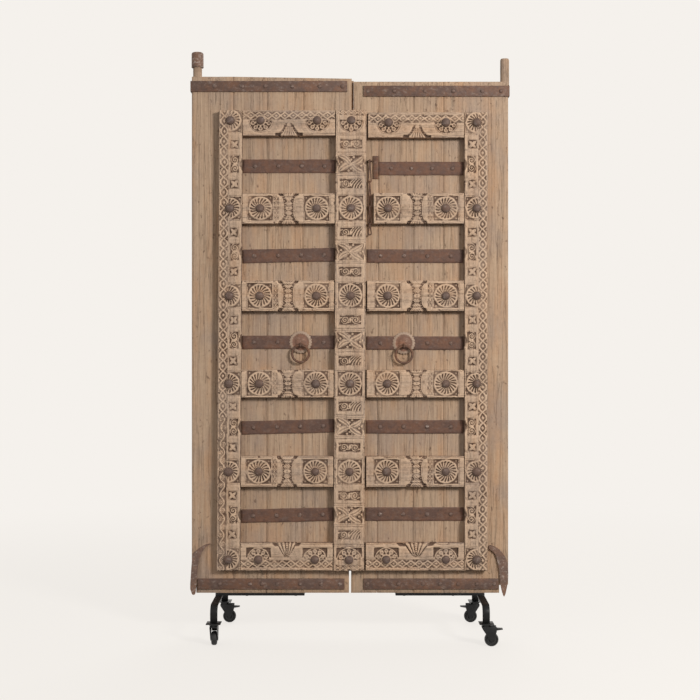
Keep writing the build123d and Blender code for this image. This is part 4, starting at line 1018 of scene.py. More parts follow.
@dataclass
class Workshop:
    """What every sub-assembly needs: the frame, the finishes, and how pieces are tied to the frame."""

    frame: dict
    finishes: Finishes

    def box(self, node: str) -> tuple[Table, Table]:
        """Lowest and highest corner of a node, in millimetres."""
        low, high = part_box(node)
        return np.array(low) / MM, np.array(high) / MM

    def solids(self, node: str) -> list[Table]:
        """Corner points of each separate solid of a node.

        Args:
            node: the node's name.

        Returns:
            One table of points in millimetres for each solid, from left to right.
        """
        work = self.merged(node)
        todo, found = set(work.verts), []
        while todo:
            group = self.island(next(iter(todo)))
            todo -= group
            points = np.array([vert.co[:] for vert in group]) / MM
            found.append(points[np.lexsort(points.round(3).T)])
        work.free()
        return sorted(found, key=lambda points: tuple(points.min(0).round(2)))

    @staticmethod
    def island(first: bmesh.types.BMVert) -> set[bmesh.types.BMVert]:
        """All the corners that edges join to a first one.

        Args:
            first: the first corner.

        Returns:
            The corners, with the first.
        """
        found, edge = {first}, [first]
        while edge:
            vert = edge.pop()
            near = {link.other_vert(vert) for link in vert.link_edges} - found
            found |= near
            edge += near
        return found

    def merged(self, node: str, flat: bool = False) -> bmesh.types.BMesh:
        """Working copy of a node's mesh with its loose triangles joined.

        Args:
            node: the node's name.
            flat: whether the triangles of a flat face become one face.

        Returns:
            The working mesh.
        """
        work = bmesh.new()
        work.from_mesh(self.frame["nodes"][node].data)
        bmesh.ops.remove_doubles(work, verts=work.verts, dist=MERGE_REACH)
        if flat:
            bmesh.ops.dissolve_limit(work, angle_limit=COPLANAR_ANGLE, verts=work.verts, edges=work.edges)
        return work

    @staticmethod
    def rounded(work: bmesh.types.BMesh, name: str, width: float, segments: int,
                hard: float) -> bpy.types.Mesh:
        """Rounds the hard edges of a working mesh and ends it.

        Args:
            work: the working mesh.
            name: the finished mesh's name.
            width: width of the rounding in millimetres.
            segments: facets of the rounding.
            hard: angle in degrees from which an edge is hard.

        Returns:
            The finished mesh.
        """
        limit = math.radians(hard)
        edges = [edge for edge in work.edges if edge.is_manifold and edge.calc_face_angle(0.0) > limit]
        bmesh.ops.bevel(work, geom=edges, offset=width * MM, segments=segments, profile=0.5, affect="EDGES",
                        clamp_overlap=True)
        mesh = bpy.data.meshes.new(name)
        work.to_mesh(mesh)
        work.free()
        return mesh

    def softened(self, node: str, finish: str, width: float, segments: int = 2) -> None:
        """Copy of a node with its hard edges rounded, in place of the node.

        Args:
            node: the node's name.
            finish: the finish.
            width: width of the rounding in millimetres.
            segments: facets of the rounding.
        """
        mesh = self.rounded(self.merged(node, flat=True), f"{node}_soft", width, segments, hard=32.0)
        self.dressed(node, "piece", mesh, finish, 38.0)

    def dressed(self, node: str, ending: str, mesh: bpy.types.Mesh, finish: str, smooth: float) -> None:
        """Puts a mesh in a node's place.

        Args:
            node: the node that it stands for.
            ending: how the piece's name ends after the node's.
            mesh: the piece's mesh, already in place.
            finish: its finish.
            smooth: angle in degrees under which its edges are shaded smooth.
        """
        self.stand_for(new_object(f"{node}_{ending}", mesh, self.finishes[finish], smooth), node)

    def fitted(self, node: str, ending: str, slabs: Sequence[Slab | Turned], finish: str) -> None:
        """Puts one piece of closed slabs in a node's place.

        Args:
            node: the node that it stands for.
            ending: how the piece's name ends after the node's.
            slabs: the closed slabs.
            finish: its finish.
        """
        points, faces, values, base = [], [], {}, 0
        for slab in slabs:
            verts, quads, extra = slab.parts()
            points.append(verts)
            faces += [[corner + base for corner in quad] for quad in quads]
            for key, flat in extra.items():
                values.setdefault(key, []).append(flat)
            base += len(verts)
        mesh = bpy.data.meshes.new(f"{node}_{ending}")
        mesh.from_pydata(np.concatenate(points).tolist(), [], faces)
        for key, tables in values.items():
            layer = mesh.attributes.new(key, "FLOAT", "POINT")
            layer.data.foreach_set("value", np.concatenate(tables).astype(np.float32))
        self.dressed(node, ending, mesh, finish, 40.0)

    def body(self, node: str) -> str:
        """Name of the body that a node belongs to."""
        bodies = self.frame["record"]["behaviour"]["bodies"]
        return next(name for name, nodes in bodies.items() if node in nodes)

    def stand_for(self, piece: bpy.types.Object, node: str) -> None:
        """Ties a piece to a node's body and hides the node.

        Args:
            piece: the new piece.
            node: the node that it stands for.
        """
        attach(piece, self.body(node))
        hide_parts(node)
        LOG.info("%s stands for %s", piece.name, node)


class GeometryTree(Wiring):
    """A geometry node tree under construction, with named inputs."""

    def __init__(self, name: str) -> None:
        """Starts a tree that takes and gives geometry.

        Args:
            name: the tree's name.
        """
        super().__init__(bpy.data.node_groups.new(name, "GeometryNodeTree"))
        for way in ("INPUT", "OUTPUT"):
            self.tree.interface.new_socket("Geometry", in_out=way, socket_type="NodeSocketGeometry")
        self.start = self.node("NodeGroupInput")
        self.end = self.node("NodeGroupOutput")

    def socket(self, name: str, kind: str) -> Socket:
        """Adds a named input and returns its socket inside the tree."""
        self.tree.interface.new_socket(name, in_out="INPUT", socket_type=kind)
        return self.start.outputs[name]

    def random(self, low: float, high: float, seed: Socket, extra: int) -> Socket:
        """Fixed random number for each point.

        Args:
            low, high: its range.
            seed: the tree's seed.
            extra: what sets it apart from the tree's other random numbers.

        Returns:
            The number.
        """
        made = self.node("FunctionNodeRandomValue", {"data_type": "FLOAT"})
        for socket, value in ((2, low), (3, high), ("Seed", self.math("ADD", seed, float(extra)))):
            self.feed(made.inputs[socket], value)
        return made.outputs[1]

    def hammered(self, geometry: Socket, dent: Socket, waves: float) -> Socket:
        """Moves a surface in and out along its normals by fixed noise.

        Args:
            geometry: the surface.
            dent: how far, in metres.
            waves: waves of the noise in a metre.

        Returns:
            The dented surface.
        """
        place = self.node("GeometryNodeInputPosition").outputs[0]
        noise = self.node("ShaderNodeTexNoise", Vector=place, Scale=waves, Detail=2.0)
        amount = self.math("MULTIPLY", self.math("SUBTRACT", noise.outputs["Fac"], 0.5), dent)
        move = self.node("ShaderNodeVectorMath", {"operation": "SCALE"}, Scale=amount)
        self.feed(move.inputs[0], self.node("GeometryNodeInputNormal").outputs[0])
        return self.node("GeometryNodeSetPosition", Geometry=geometry, Offset=move.outputs[0]).outputs[0]

    def finish(self, geometry: Socket, material: Socket) -> None:
        """Ends the tree in smooth shading, real geometry and its material.

        Args:
            geometry: what the tree has made.
            material: its finish.
        """
        real = self.node("GeometryNodeRealizeInstances", Geometry=geometry).outputs[0]
        smooth = self.node("GeometryNodeSetShadeSmooth", Geometry=real).outputs[0]
        dressed = self.node("GeometryNodeSetMaterial", Geometry=smooth, Material=material).outputs[0]
        self.feed(self.end.inputs[0], dressed)

    def run(self, name: str, source: bpy.types.Mesh | bpy.types.Curve, **values: object) -> bpy.types.Object:
        """Runs the tree on a mesh or curve and gives a plain mesh object.

        Args:
            name: the new object's name.
            source: what the tree works on.
            values: a value for each named input.

        Returns:
            The object.
        """
        carrier = placed(f"{name}_source", source)
        modifier = carrier.modifiers.new("build", "NODES")
        modifier.node_group = self.tree
        for item in self.tree.interface.items_tree:
            key = item.name.replace(" ", "_")
            if item.in_out == "INPUT" and key in values:
                modifier[item.identifier] = values[key]
        bpy.context.view_layer.update()
        graph = bpy.context.evaluated_depsgraph_get()
        mesh = bpy.data.meshes.new_from_object(carrier.evaluated_get(graph))
        mesh.name = name
        carrier.modifiers.remove(modifier)
        bpy.data.objects.remove(carrier)
        return placed(name, mesh)


@dataclass
class ForgedNails:
    """Domed heads of hand-made nails, one for each faceted head of a node."""

    shop: Workshop
    tree: GeometryTree = field(init=False)

    def __post_init__(self) -> None:
        """Builds the tree: a flat-backed dome on each point, turned, sized and hammered by a fixed seed."""
        tree = GeometryTree("forged_nail_heads")
        radius = tree.socket("Radius", "NodeSocketFloat")
        height = tree.socket("Height", "NodeSocketFloat")
        dent = tree.socket("Dent", "NodeSocketFloat")
        seed = tree.socket("Seed", "NodeSocketInt")
        material = tree.socket("Finish", "NodeSocketMaterial")
        ball = tree.node("GeometryNodeMeshUVSphere", Segments=22, Rings=14, Radius=1.0)
        place = tree.node("ShaderNodeSeparateXYZ", Vector=tree.node("GeometryNodeInputPosition").outputs[0])
        behind = tree.math("MINIMUM", place.outputs[1], 0.0)
        flat = tree.node("ShaderNodeCombineXYZ", X=place.outputs[0], Y=behind, Z=place.outputs[2])
        dome = tree.node("GeometryNodeSetPosition", Geometry=ball.outputs["Mesh"], Position=flat.outputs[0])
        wide = tree.random(0.94, 1.05, seed, 1)
        tall = tree.random(0.82, 1.0, seed, 2)
        size = tree.node("ShaderNodeCombineXYZ", X=tree.math("MULTIPLY", radius, wide),
                         Y=tree.math("MULTIPLY", height, tall), Z=tree.math("MULTIPLY", radius, wide))
        turn = tree.node("ShaderNodeCombineXYZ", Y=tree.random(0.0, FULL_TURN, seed, 3))
        placed = tree.node("GeometryNodeInstanceOnPoints", Points=tree.start.outputs["Geometry"],
                           Instance=dome.outputs[0], Rotation=turn.outputs[0], Scale=size.outputs[0])
        real = tree.node("GeometryNodeRealizeInstances", Geometry=placed.outputs[0]).outputs[0]
        tree.finish(tree.hammered(real, dent, 150.0), material)
        self.tree = tree

    def build(self, node: str, finish: str, radius: float, height: float, dent: float, seed: int) -> None:
        """Replaces a node's faceted heads.

        Args:
            node: the node with one solid for each nail.
            finish: the finish.
            radius, height, dent: sizes of a head in millimetres.
            seed: seed of its small differences.
        """
        heads = self.shop.solids(node)
        seats = []
        for points in heads:
            middle = (points.min(0) + points.max(0)) / 2
            seats.append((middle[0] * MM, points[:, 1].max() * MM, middle[2] * MM))
        spots = bpy.data.meshes.new(f"{node}_seats")
        spots.from_pydata(seats, [], [])
        piece = self.tree.run(f"{node}_domes", spots, Radius=radius * MM, Height=height * MM, Dent=dent * MM,
                              Seed=seed, Finish=self.shop.finishes[finish])
        self.shop.stand_for(piece, node)


@dataclass
class ForgedBars:
    """Round bars hammered along a path: rings, links, eyes and staples."""

    shop: Workshop
    finish: str = "ring_iron"
    tree: GeometryTree = field(init=False)

    def __post_init__(self) -> None:
        """Builds the tree: a round section carried along a curve, closed at its ends and hammered."""
        tree = GeometryTree("forged_bar")
        radius = tree.socket("Radius", "NodeSocketFloat")
        dent = tree.socket("Dent", "NodeSocketFloat")
        material = tree.socket("Finish", "NodeSocketMaterial")
        section = tree.node("GeometryNodeCurvePrimitiveCircle", Resolution=14, Radius=radius)
        bar = tree.node("GeometryNodeCurveToMesh", Curve=tree.start.outputs["Geometry"],
                        Profile_Curve=section.outputs[0])
        bar.inputs["Fill Caps"].default_value = True
        tree.finish(tree.hammered(bar.outputs[0], dent, 190.0), material)
        self.tree = tree

    @staticmethod
    def rounded(path: Table, closed: bool, times: int = 3) -> Table:
        """Path with its corners cut again and again until it is smooth.

        Args:
            path: corner points.
            closed: whether the last point joins the first.
            times: how often the corners are cut.

        Returns:
            The smooth path.
        """
        for _ in range(times):
            after = np.roll(path, -1, 0) if closed else path[1:]
            before = path if closed else path[:-1]
            cut = np.stack([before * 0.75 + after * 0.25, before * 0.25 + after * 0.75], 1).reshape(-1, 3)
            path = cut if closed else np.concatenate([path[:1], cut, path[-1:]])
        return path

    def build(self, node: str, paths: Sequence[Table], closed: bool, radius: float, dent: float) -> None:
        """Replaces a node by a bar along each path.

        Args:
            node: the node.
            paths: points of each path, in millimetres.
            closed: whether the paths are loops.
            radius, dent: sizes in millimetres.
        """
        curve = bpy.data.curves.new(f"{node}_path", "CURVE")
        curve.dimensions = "3D"
        for path in paths:
            spline = curve.splines.new("POLY")
            spline.points.add(len(path) - 1)
            for point, place in zip(spline.points, path * MM):
                point.co = (*place, 1.0)
            spline.use_cyclic_u = closed
        piece = self.tree.run(f"{node}_bar", curve, Radius=radius * MM, Dent=dent * MM,
                              Finish=self.shop.finishes[self.finish])
        self.shop.stand_for(piece, node)


def edges_at(corners: Table, s: Table) -> tuple[Table, Table]:
    """Places on the lower and the upper edge of a four-cornered face.

    Args:
        corners: lower left, lower right, upper right and upper left corner.
        s: shares of the width.

    Returns:
        The places on the lower and on the upper edge.
    """
    part = s[..., None]
    return corners[0] * (1 - part) + corners[1] * part, corners[3] * (1 - part) + corners[2] * part


def inset(s: Table, t: Table, width: float, height: float) -> Table:
    """Distance of each point of a face from its nearest edge, from shares of its width and height."""
    return np.minimum(np.minimum(s, 1 - s) * width, np.minimum(t, 1 - t) * height)


@dataclass
class Boards:
    """Upright boards of both leaves, with worn edges, gouges, splits and turned pegs."""

    shop: Workshop
    cell: float = 5.0
    row: float = 12.0
    peg_segments: int = 40
    corner_cut: tuple[float, float] = (18.0, 36.0)
    corner_height: float = 33.0
    corner_step: float = 1.2
    tongue_foot: float = 1250.0
    tongue_reach: float = 7.7

    def build(self) -> None:
        """Builds the hinge stiles and the boards between them."""
        for node, seed in (("left_boards", 11), ("right_boards", 23)):
            planks = []
            for index, points in enumerate(self.shop.solids(node)):
                shade = 0.05 + 0.34 * float(lattice_value(np.array([seed + index]), np.array([3]), 5)[0])
                planks.append(self.plank(self.corners(points), seed + index * 3, shade))
            if node == "left_boards":
                # The dark tongue in the gap between the leaves is painted shade.
                planks.append(self.shaded_gap_tongue())
            self.shop.fitted(node, "planks", planks, "upright_boards")
        for side, node in ((-1, "left_hinge_stile"), (1, "right_hinge_stile")):
            self.hinge_stile(node, side)

    @staticmethod
    def corners(points: Table) -> Table:
        """Corners of a board's face.

        Args:
            points: corner points of the board.

        Returns:
            Lower left, lower right, upper right and upper left corner, in X and Z.
        """
        low_z, high_z = points[:, 2].min(), points[:, 2].max()
        half = (low_z + high_z) / 2
        low, high = points[points[:, 2] < half], points[points[:, 2] > half]
        picks = (low[low[:, 0].argmin()], low[low[:, 0].argmax()],
                 high[high[:, 0].argmax()], high[high[:, 0].argmin()])
        return np.array([(pick[0], pick[2]) for pick in picks])

    def plank(self, corners: Table, seed: int, shade: float) -> Slab:
        """One board as a slab with a weathered face and back.

        Args:
            corners: four corners of its face, in millimetres.
            seed: seed of its weathering.
            shade: how dark it is, from 0 to 1.

        Returns:
            The slab.
        """
        low, high = self.shop.box("left_boards")
        width = corners[1, 0] - corners[0, 0]
        height = corners[2, 1] - corners[1, 1]
        across = np.linspace(0, 1, max(int(width / self.cell), 6))
        along = np.linspace(0, 1, int(height / self.row))
        s, t = np.meshgrid(across, along)
        bottom, top = edges_at(corners, s)
        place = bottom * (1 - t)[..., None] + top * t[..., None]
        x, z = place[..., 0], place[..., 1]
        edge = inset(s, t, width, height)
        ragged = 2.2 + 1.6 * smooth_noise(x / 37, z / 55, seed)
        worn = np.clip(1 - edge / np.maximum(ragged, 0.8), 0, 1) ** 2 * 3.2
        fibre = (0.35 * smooth_noise(x / 3.4, z / 190, seed + 5, 2)
                 + 0.55 * smooth_noise(x / 26, z / 420, seed + 7))
        dents = np.clip(smooth_noise(x / 31, z / 48, seed + 9) - 0.52, 0, 1) * 5.0
        depth = np.clip(worn + 0.6 + fibre + dents, 0.0, 9.0)
        cloud = 0.26 * smooth_noise(x / 90, z / 300, seed + 2)
        tone = np.clip(shade + 0.14 * step(14.0, 0.0, edge) + cloud, 0, 1)
        return Slab(x, z, low[1] + depth, high[1] - depth * 0.6, {"tone": tone})

    def shaded_gap_tongue(self) -> Slab:
        """Thin tongue on the upper meeting edge of the left leaf, which closes most of the gap and is
        coloured the darkest wood as painted shade in the gap.

        Returns:
            The tongue.
        """
        edges = [self.corners(points) for points in self.shop.solids("left_boards")]
        low, high = max(edges, key=lambda corner: corner[1, 0])[1:3]
        z = np.linspace(self.tongue_foot, high[1] - 6.0, 60)
        edge = low[0] + (high[0] - low[0]) * (z - low[1]) / (high[1] - low[1])
        s, z = np.meshgrid(np.linspace(-1.0, self.tongue_reach, 5), z)
        x = edge[:, None] + s
        front = -4.0 + 0.6 * smooth_noise(s / 4, z / 60, 91)
        # Painted shade: tone 1 gives the whole tongue the darkest wood colour, standing for the shadow in the
        # gap between the leaves.
        return Slab(x, z, front, np.full_like(x, 8.0), {"tone": np.full_like(x, 1.0)})

    def hinge_stile(self, node: str, side: int) -> None:
        """Outer board of a leaf with its peg.

        Args:
            node: the node.
            side: -1 for the left leaf, 1 for the right.
        """
        points = np.concatenate(self.shop.solids(node))
        face = points[np.abs(points[:, 1] - points[:, 1].min()) < 0.05]
        corners = self.corners(face)
        outer = face[:, 0].min() if side < 0 else face[:, 0].max()
        for row in (0, 3) if side < 0 else (1, 2):
            corners[row, 0] = outer
        corners[0, 1] = corners[1, 1] = face[:, 2].min()
        board = self.plank(corners, 41 + side, 0.08 if side < 0 else 0.0)
        cut = self.corner_cut[0] if side < 0 else self.corner_cut[1]
        level = face[:, 2].min() + self.corner_height
        above = int(np.argmax(board.z[:, 0] > level))
        board.z[above], board.z[above - 1] = level, level - self.corner_step
        inner = corners[0 if side > 0 else 1, 0]
        narrow = 1 - cut / abs(outer - inner)
        board.x[:above] = inner + (board.x[:above] - inner) * narrow
        peg = self.peg(points, face[:, 2].max(), side)
        self.shop.fitted(node, "plank", [board, peg], "upright_boards")

    def peg(self, points: Table, leaf_top: float, side: int) -> Turned:
        """Turned peg above a leaf, with a worn top.

        Args:
            points: corner points of the node.
            leaf_top: height of the leaf's top.
            side: -1 for the left leaf, 1 for the right.

        Returns:
            The peg, its foot a little way inside the board.
        """
        above = points[points[:, 2] > leaf_top + 1.0]
        middle = (above[:, 0].min() + above[:, 0].max()) / 2
        radius = (above[:, 0].max() - above[:, 0].min()) / 2
        top = above[:, 2].max()
        turn = np.linspace(0, FULL_TURN, self.peg_segments, endpoint=False)
        heights = np.linspace(leaf_top - 12.0, top, 24)
        a, z = np.meshgrid(turn, heights)
        worn = 0.5 + 0.5 * smooth_noise(np.cos(a) * 3.0, np.sin(a) * 3.0 + z / 40, 77)
        worn += 2.2 * step(top - 6.0, top, z)
        r = radius - 1.1 * np.clip(worn, 0, 3)
        tone = 0.35 + 0.3 * smooth_noise(np.cos(a) * 2.0, z / 60, 5)
        if side < 0:
            tone = np.maximum(tone, step(leaf_top + 14.0, leaf_top + 20.0, z))
        return Turned(np.stack([middle + r * np.cos(a), r * np.sin(a), z], -1), {"tone": tone})


@dataclass(frozen=True)
class RailLayout:
    """Places and sizes of the carving on the rails, in millimetres."""

    edge_line: float = 5.0
    rosette: float = 46.5
    petals: int = 18
    sweep: float = 1.3
    rosette_line: float = 53.0
    line_margin: float = 8.0
    braid_offset: float = 63.5
    braid_half: float = 7.6
    braid_pitch: float = 19.0
    braid_margin: float = 9.0
    first_band: float = 21.0
    band: float = 26.0
    band_half: float = 14.5
    band_pitch: float = 34.0
    boss_seat: tuple[float, float] = (19.0, 23.0)
    fan: float = 43.0
    lobes: int = 5
    bell_share: float = 0.5
    leaf_share: float = 0.56
    left_leaf: float = 38.0
    right_leaf: float = 50.0


@dataclass(frozen=True)
class OuterLayout:
    """Places and sizes of the carving on the outer stiles, in millimetres from the outer edge or a middle."""

    width: float = 92.0
    band: float = 20.0
    band_half: float = 16.0
    band_pitch: float = 40.5
    vine_pitch: float = 66.0
    vine_top: float = 870.0
    rosette_middle: float = 44.0
    rosette: float = 42.0
    petals: int = 17
    rosette_side: float = 39.0
    rosette_reach: float = 47.0
    boss_seat: tuple[float, float] = (20.0, 24.0)
    boss_reach: float = 21.0
    band_side: float = 38.0
    row_line: float = 49.0
    inner_side: float = 40.0
    flower_middle: float = 61.0
    flower: float = 16.0
    flower_reach: float = 22.0
    scroll_middle: float = 64.0
    scroll: tuple[float, float] = (33.0, 17.0)
    scroll_side: float = 42.0
    scroll_reach: float = 38.0
    notch: tuple[float, float] = (82.0, 90.0)
    notch_sway: float = 5.0
    notch_reach: float = 24.0


@dataclass(frozen=True)
class CentreLayout:
    """Places and sizes of the carving on the centre stile, in millimetres from its middle or an edge."""

    width: float = 122.0
    edge_line: float = 4.5
    rosette: float = 46.0
    petals: int = 18
    sweep: float = 1.2
    rosette_reach: float = 49.0
    row_line: float = 52.0
    fan: float = 45.0
    lobes: int = 5
    fan_margin: float = 7.0
    strip: float = 12.0
    strip_half: float = 9.0
    strip_pitch: float = 22.0
    strip_margin: float = 6.0
    boss_reach: float = 21.0
    end_lines: tuple[float, float] = (-53.0, -60.0)
    scroll: tuple[float, float] = (43.0, 17.5)
    scroll_reach: float = 24.0
    bow: float = 33.0
    side_margin: float = 9.0
    bow_lines: tuple[float, ...] = (-38.0, 38.0, -46.0, 46.0)
    notch_end: float = 2.0
    notch_sway: float = 4.5
    notch_reach: float = 30.0


@dataclass
class CarvedFrame:
    """Stiles and rails of the carved frame as fine relief."""

    shop: Workshop
    bosses: Table = field(init=False)
    bays: list[tuple[float, float]] = field(init=False)
    rails: RailLayout = RailLayout()
    outer: OuterLayout = OuterLayout()
    centre: CentreLayout = CentreLayout()
    cell: float = 1.9
    lean: float = 11.0 / 2066.0
    board_front: float = -20.0
    wobble: float = 2.2
    panel_share: float = 0.348
    notch_depth: float = 11.0

    def __post_init__(self) -> None:
        """Reads the boss nails' places and the open bays from the frame."""
        heads = self.shop.solids("boss_nails")
        self.bosses = np.array([(points.min(0) + points.max(0))[[0, 2]] / 2 for points in heads])
        spans = [self.shop.box(f"left_rail_{row}") for row in range(1, 7)]
        gaps = [(upper[0][2], lower[1][2]) for upper, lower in zip(spans, spans[1:])]
        self.bays = [((top + foot) / 2, top - foot) for top, foot in gaps]

    def build(self) -> None:
        """Builds every carved piece."""
        kinds = [RailKind.TOP] + [RailKind.MIDDLE] * 4 + [RailKind.BOTTOM]
        for leaf in ("left", "right"):
            for row, kind in enumerate(kinds, 1):
                self.rail(f"{leaf}_rail_{row}", kind, row * 7 + (leaf == "left") * 100)
        self.outer_stile("left_carved_stile", 1, self.lean, 301)
        self.outer_stile("right_carved_stile", -1, 0.0, 402)
        self.centre_stile(503)

    def grid(self, width: float, height: float) -> tuple[Table, Table]:
        """Coordinates from a face's middle over a fine grid.

        Args:
            width, height: the face's size.

        Returns:
            Across and up coordinates.
        """
        across = np.linspace(-width / 2, width / 2, int(width / self.cell) + 1)
        up = np.linspace(-height / 2, height / 2, int(height / self.cell) + 1)
        return np.meshgrid(across, up)

    def hand_cut(self, width: float, height: float, seed: int) -> tuple[Table, Table]:
        """Coordinates from a face's middle, with the small drift of hand carving.

        Args:
            width, height: the face's size.
            seed: seed of the drift.

        Returns:
            Across and up coordinates.
        """
        u, v = self.grid(width, height)
        drift = [self.wobble * smooth_noise(u / 26, v / 26, seed + 40 + turn, 2) for turn in range(2)]
        return u + drift[0], v + drift[1]

    def piece(self, node: str, depth: Depth, size: tuple[float, float], grain: Grain, lean: float,
              seed: int) -> None:
        """Turns a depth table into a worn carved piece.

        Args:
            node: the node it stands for.
            depth: depth of the carving at each grid point.
            size: width and height of the face.
            grain: which way the fibres run.
            lean: sideways shift for each unit of height.
            seed: seed of the wear.
        """
        low, high = self.shop.box(node)
        u, v = self.grid(*size)
        middle_x, _, middle_z = (low + high) / 2
        edge = np.minimum(size[0] / 2 - np.abs(u), size[1] / 2 - np.abs(v))
        across, along = (v, u) if grain is Grain.LEVEL else (u, v)
        ragged = 3.4 + 2.4 * smooth_noise(u / 23 + 3, v / 23, seed)
        rounding = np.clip(1 - edge / np.maximum(ragged, 1.0), 0, 1) ** 2 * 3.4
        chips = np.clip(smooth_noise(u / 19, v / 19, seed + 3) - 0.38, 0, 1) * step(13.0, 0.0, edge) * 13.0
        hand = 0.55 * smooth_noise(u / 9, v / 9, seed + 1, 2)
        fibre = (0.28 * smooth_noise(across / 2.6, along / 70, seed + 2, 2)
                 + 0.5 * smooth_noise(across / 14, along / 190, seed + 6))
        wear = np.clip(0.82 + 0.5 * smooth_noise(u / 46, v / 46, seed + 8), 0.28, 1.05)
        carved = blurred(depth * wear, 1) * 0.45 + depth * wear * 0.55
        total = np.clip(carved + rounding + chips + 0.7 + hand * 0.6 + fibre, 0.0, 20.0)
        near, far = blurred(total, 3), blurred(total, 9)
        # Painted shade and highlight: relief is low where the surface lies deeper than the wood around it and
        # high where it stands out; the finish darkens the low places and lightens the high ones.
        relief = np.clip(0.5 + (near - total) * 0.078 + (far - total) * 0.056 - (total - 0.8) * 0.012, 0, 1)
        tone = np.clip(0.22 + 0.3 * smooth_noise(u / 80, v / 140, seed + 4), 0, 1)
        x = middle_x + u + lean * v
        slab = Slab(x, middle_z + v, low[1] + total, self.board_front, {"relief": relief, "tone": tone})
        finish = "carved_level" if grain is Grain.LEVEL else "carved_upright"
        self.shop.fitted(node, "carving", [slab], finish)

    def rail(self, node: str, kind: RailKind, seed: int) -> None:
        """Carves one rail.

        Args:
            node: its node.
            kind: what is carved on it.
            seed: seed of its wear.
        """
        plan = self.rails
        low, high = self.shop.box(node)
        width, _, height = high - low
        u, v = self.hand_cut(width, height, seed)
        middle = ((low + high) / 2)[[0, 2]]
        inside = [boss - middle for boss in self.bosses
                  if low[0] < boss[0] < high[0] and low[2] < boss[1] < high[2]]
        inside.sort(key=lambda boss: boss[0])
        vase_u = sum(boss[0] for boss in inside) / len(inside)
        left = node.startswith("left")
        depth = Motif.moulding(v, (plan.edge_line - height / 2, height / 2 - plan.edge_line))
        if kind is RailKind.MIDDLE:
            for index, (bu, bv) in enumerate(inside):
                rosette = Motif(u - bu, v - bv).rosette(plan.rosette, plan.petals + index % 2, plan.sweep)
                lines = Motif.moulding(u - bu, (-plan.rosette_line, plan.rosette_line))
                lines = lines * (np.abs(v) < height / 2 - plan.line_margin)
                depth = np.maximum(depth, np.maximum(rosette, lines))
            depth = np.maximum(depth, Motif(u - vase_u, v).vase(height / 2, seed % 2 == 1))
            side, (beside, _) = (1, inside[0]) if left else (-1, inside[-1])
            braid = Motif(u - beside - side * plan.braid_offset, v).lattice(plan.braid_half, plan.braid_pitch)
            depth = np.maximum(depth, braid * (np.abs(v) < height / 2 - plan.braid_margin))
        else:
            sign = 1.0 if kind is RailKind.TOP else -1.0
            strip = sign * (height / 2 - (plan.first_band if node == "left_rail_1" else plan.band))
            band = Motif(v - strip, u).lattice(plan.band_half, plan.band_pitch)
            for bu, bv in inside:
                band = band * step(*plan.boss_seat, np.hypot(u - bu, v - bv))
                fan = Motif(u - bu, -sign * (v - bv)).fan(plan.fan, plan.lobes, kind is RailKind.BOTTOM)
                depth = np.maximum(depth, fan)
            depth = np.maximum(depth, band)
            if kind is RailKind.TOP:
                middle_piece = Motif(u - vase_u, v + height / 2).half_vase(height * plan.bell_share)
            else:
                half = plan.left_leaf if left else plan.right_leaf
                middle_piece = Motif(u - vase_u, height / 2 - v).palmette(height * plan.leaf_share, half)
            depth = np.maximum(depth, middle_piece)
        self.piece(node, depth, (width, height), Grain.LEVEL, 0.0, seed)

    def outer_stile(self, node: str, inward: int, lean: float, seed: int) -> None:
        """Carves an outer stile: lozenges or vine outside, flowers, scrolls and half rosettes inside.

        Args:
            node: its node.
            inward: 1 where the leaf's middle lies towards +X, -1 the other way.
            lean: sideways shift for each unit of height.
            seed: seed of its wear.
        """
        plan = self.outer
        low, high = self.shop.box(node)
        height = high[2] - low[2]
        middle_z = (low[2] + high[2]) / 2
        u, v = self.hand_cut(plan.width, height, seed)
        across = u * inward + plan.width / 2
        inner = across > plan.inner_side
        depth = Motif(across - plan.band, v).lattice(plan.band_half, plan.band_pitch, curved=True)
        if inward > 0:
            vine = Motif(across - plan.band, v).vine(plan.band_half, plan.vine_pitch)
            depth = np.where(v < (plan.vine_top - middle_z), vine, depth)
        for row in sorted({round(float(boss[1]), 1) for boss in self.bosses if low[0] < boss[0] < high[0]}):
            beside, local = across - plan.rosette_middle, v - (row - middle_z)
            near = np.hypot(beside, local)
            depth = depth * step(*plan.boss_seat, near)
            half = Motif(beside, local).rosette(plan.rosette, plan.petals, 1.0)
            keep = (across > plan.rosette_side) | (near < plan.boss_reach)
            square = (np.abs(local) < plan.rosette_reach) & keep
            depth = np.where(square, np.maximum(depth * (across < plan.band_side), half), depth)
            depth = np.maximum(depth, Motif.moulding(local, (-plan.row_line, plan.row_line)) * inner)
        for z, tall in self.bays:
            local = v - (z - middle_z)
            for side in (-self.panel_share, self.panel_share):
                away = local - side * tall
                flower = Motif(across - plan.flower_middle, away).flower(plan.flower)
                depth = np.maximum(depth, flower * inner * (np.abs(away) < plan.flower_reach))
            scroll = Motif(local, across - plan.scroll_middle).scrolls(*plan.scroll)
            within = (across > plan.scroll_side) * (np.abs(local) < plan.scroll_reach)
            depth = np.maximum(depth, scroll * within)
            sway = plan.notch_sway * np.cos(local / plan.notch_reach * math.pi)
            notch = step(*plan.notch, across + sway) * (np.abs(local) < plan.notch_reach)
            depth = np.maximum(depth, self.notch_depth * notch)
        self.piece(node, depth, (plan.width, height), Grain.UPRIGHT, lean, seed)

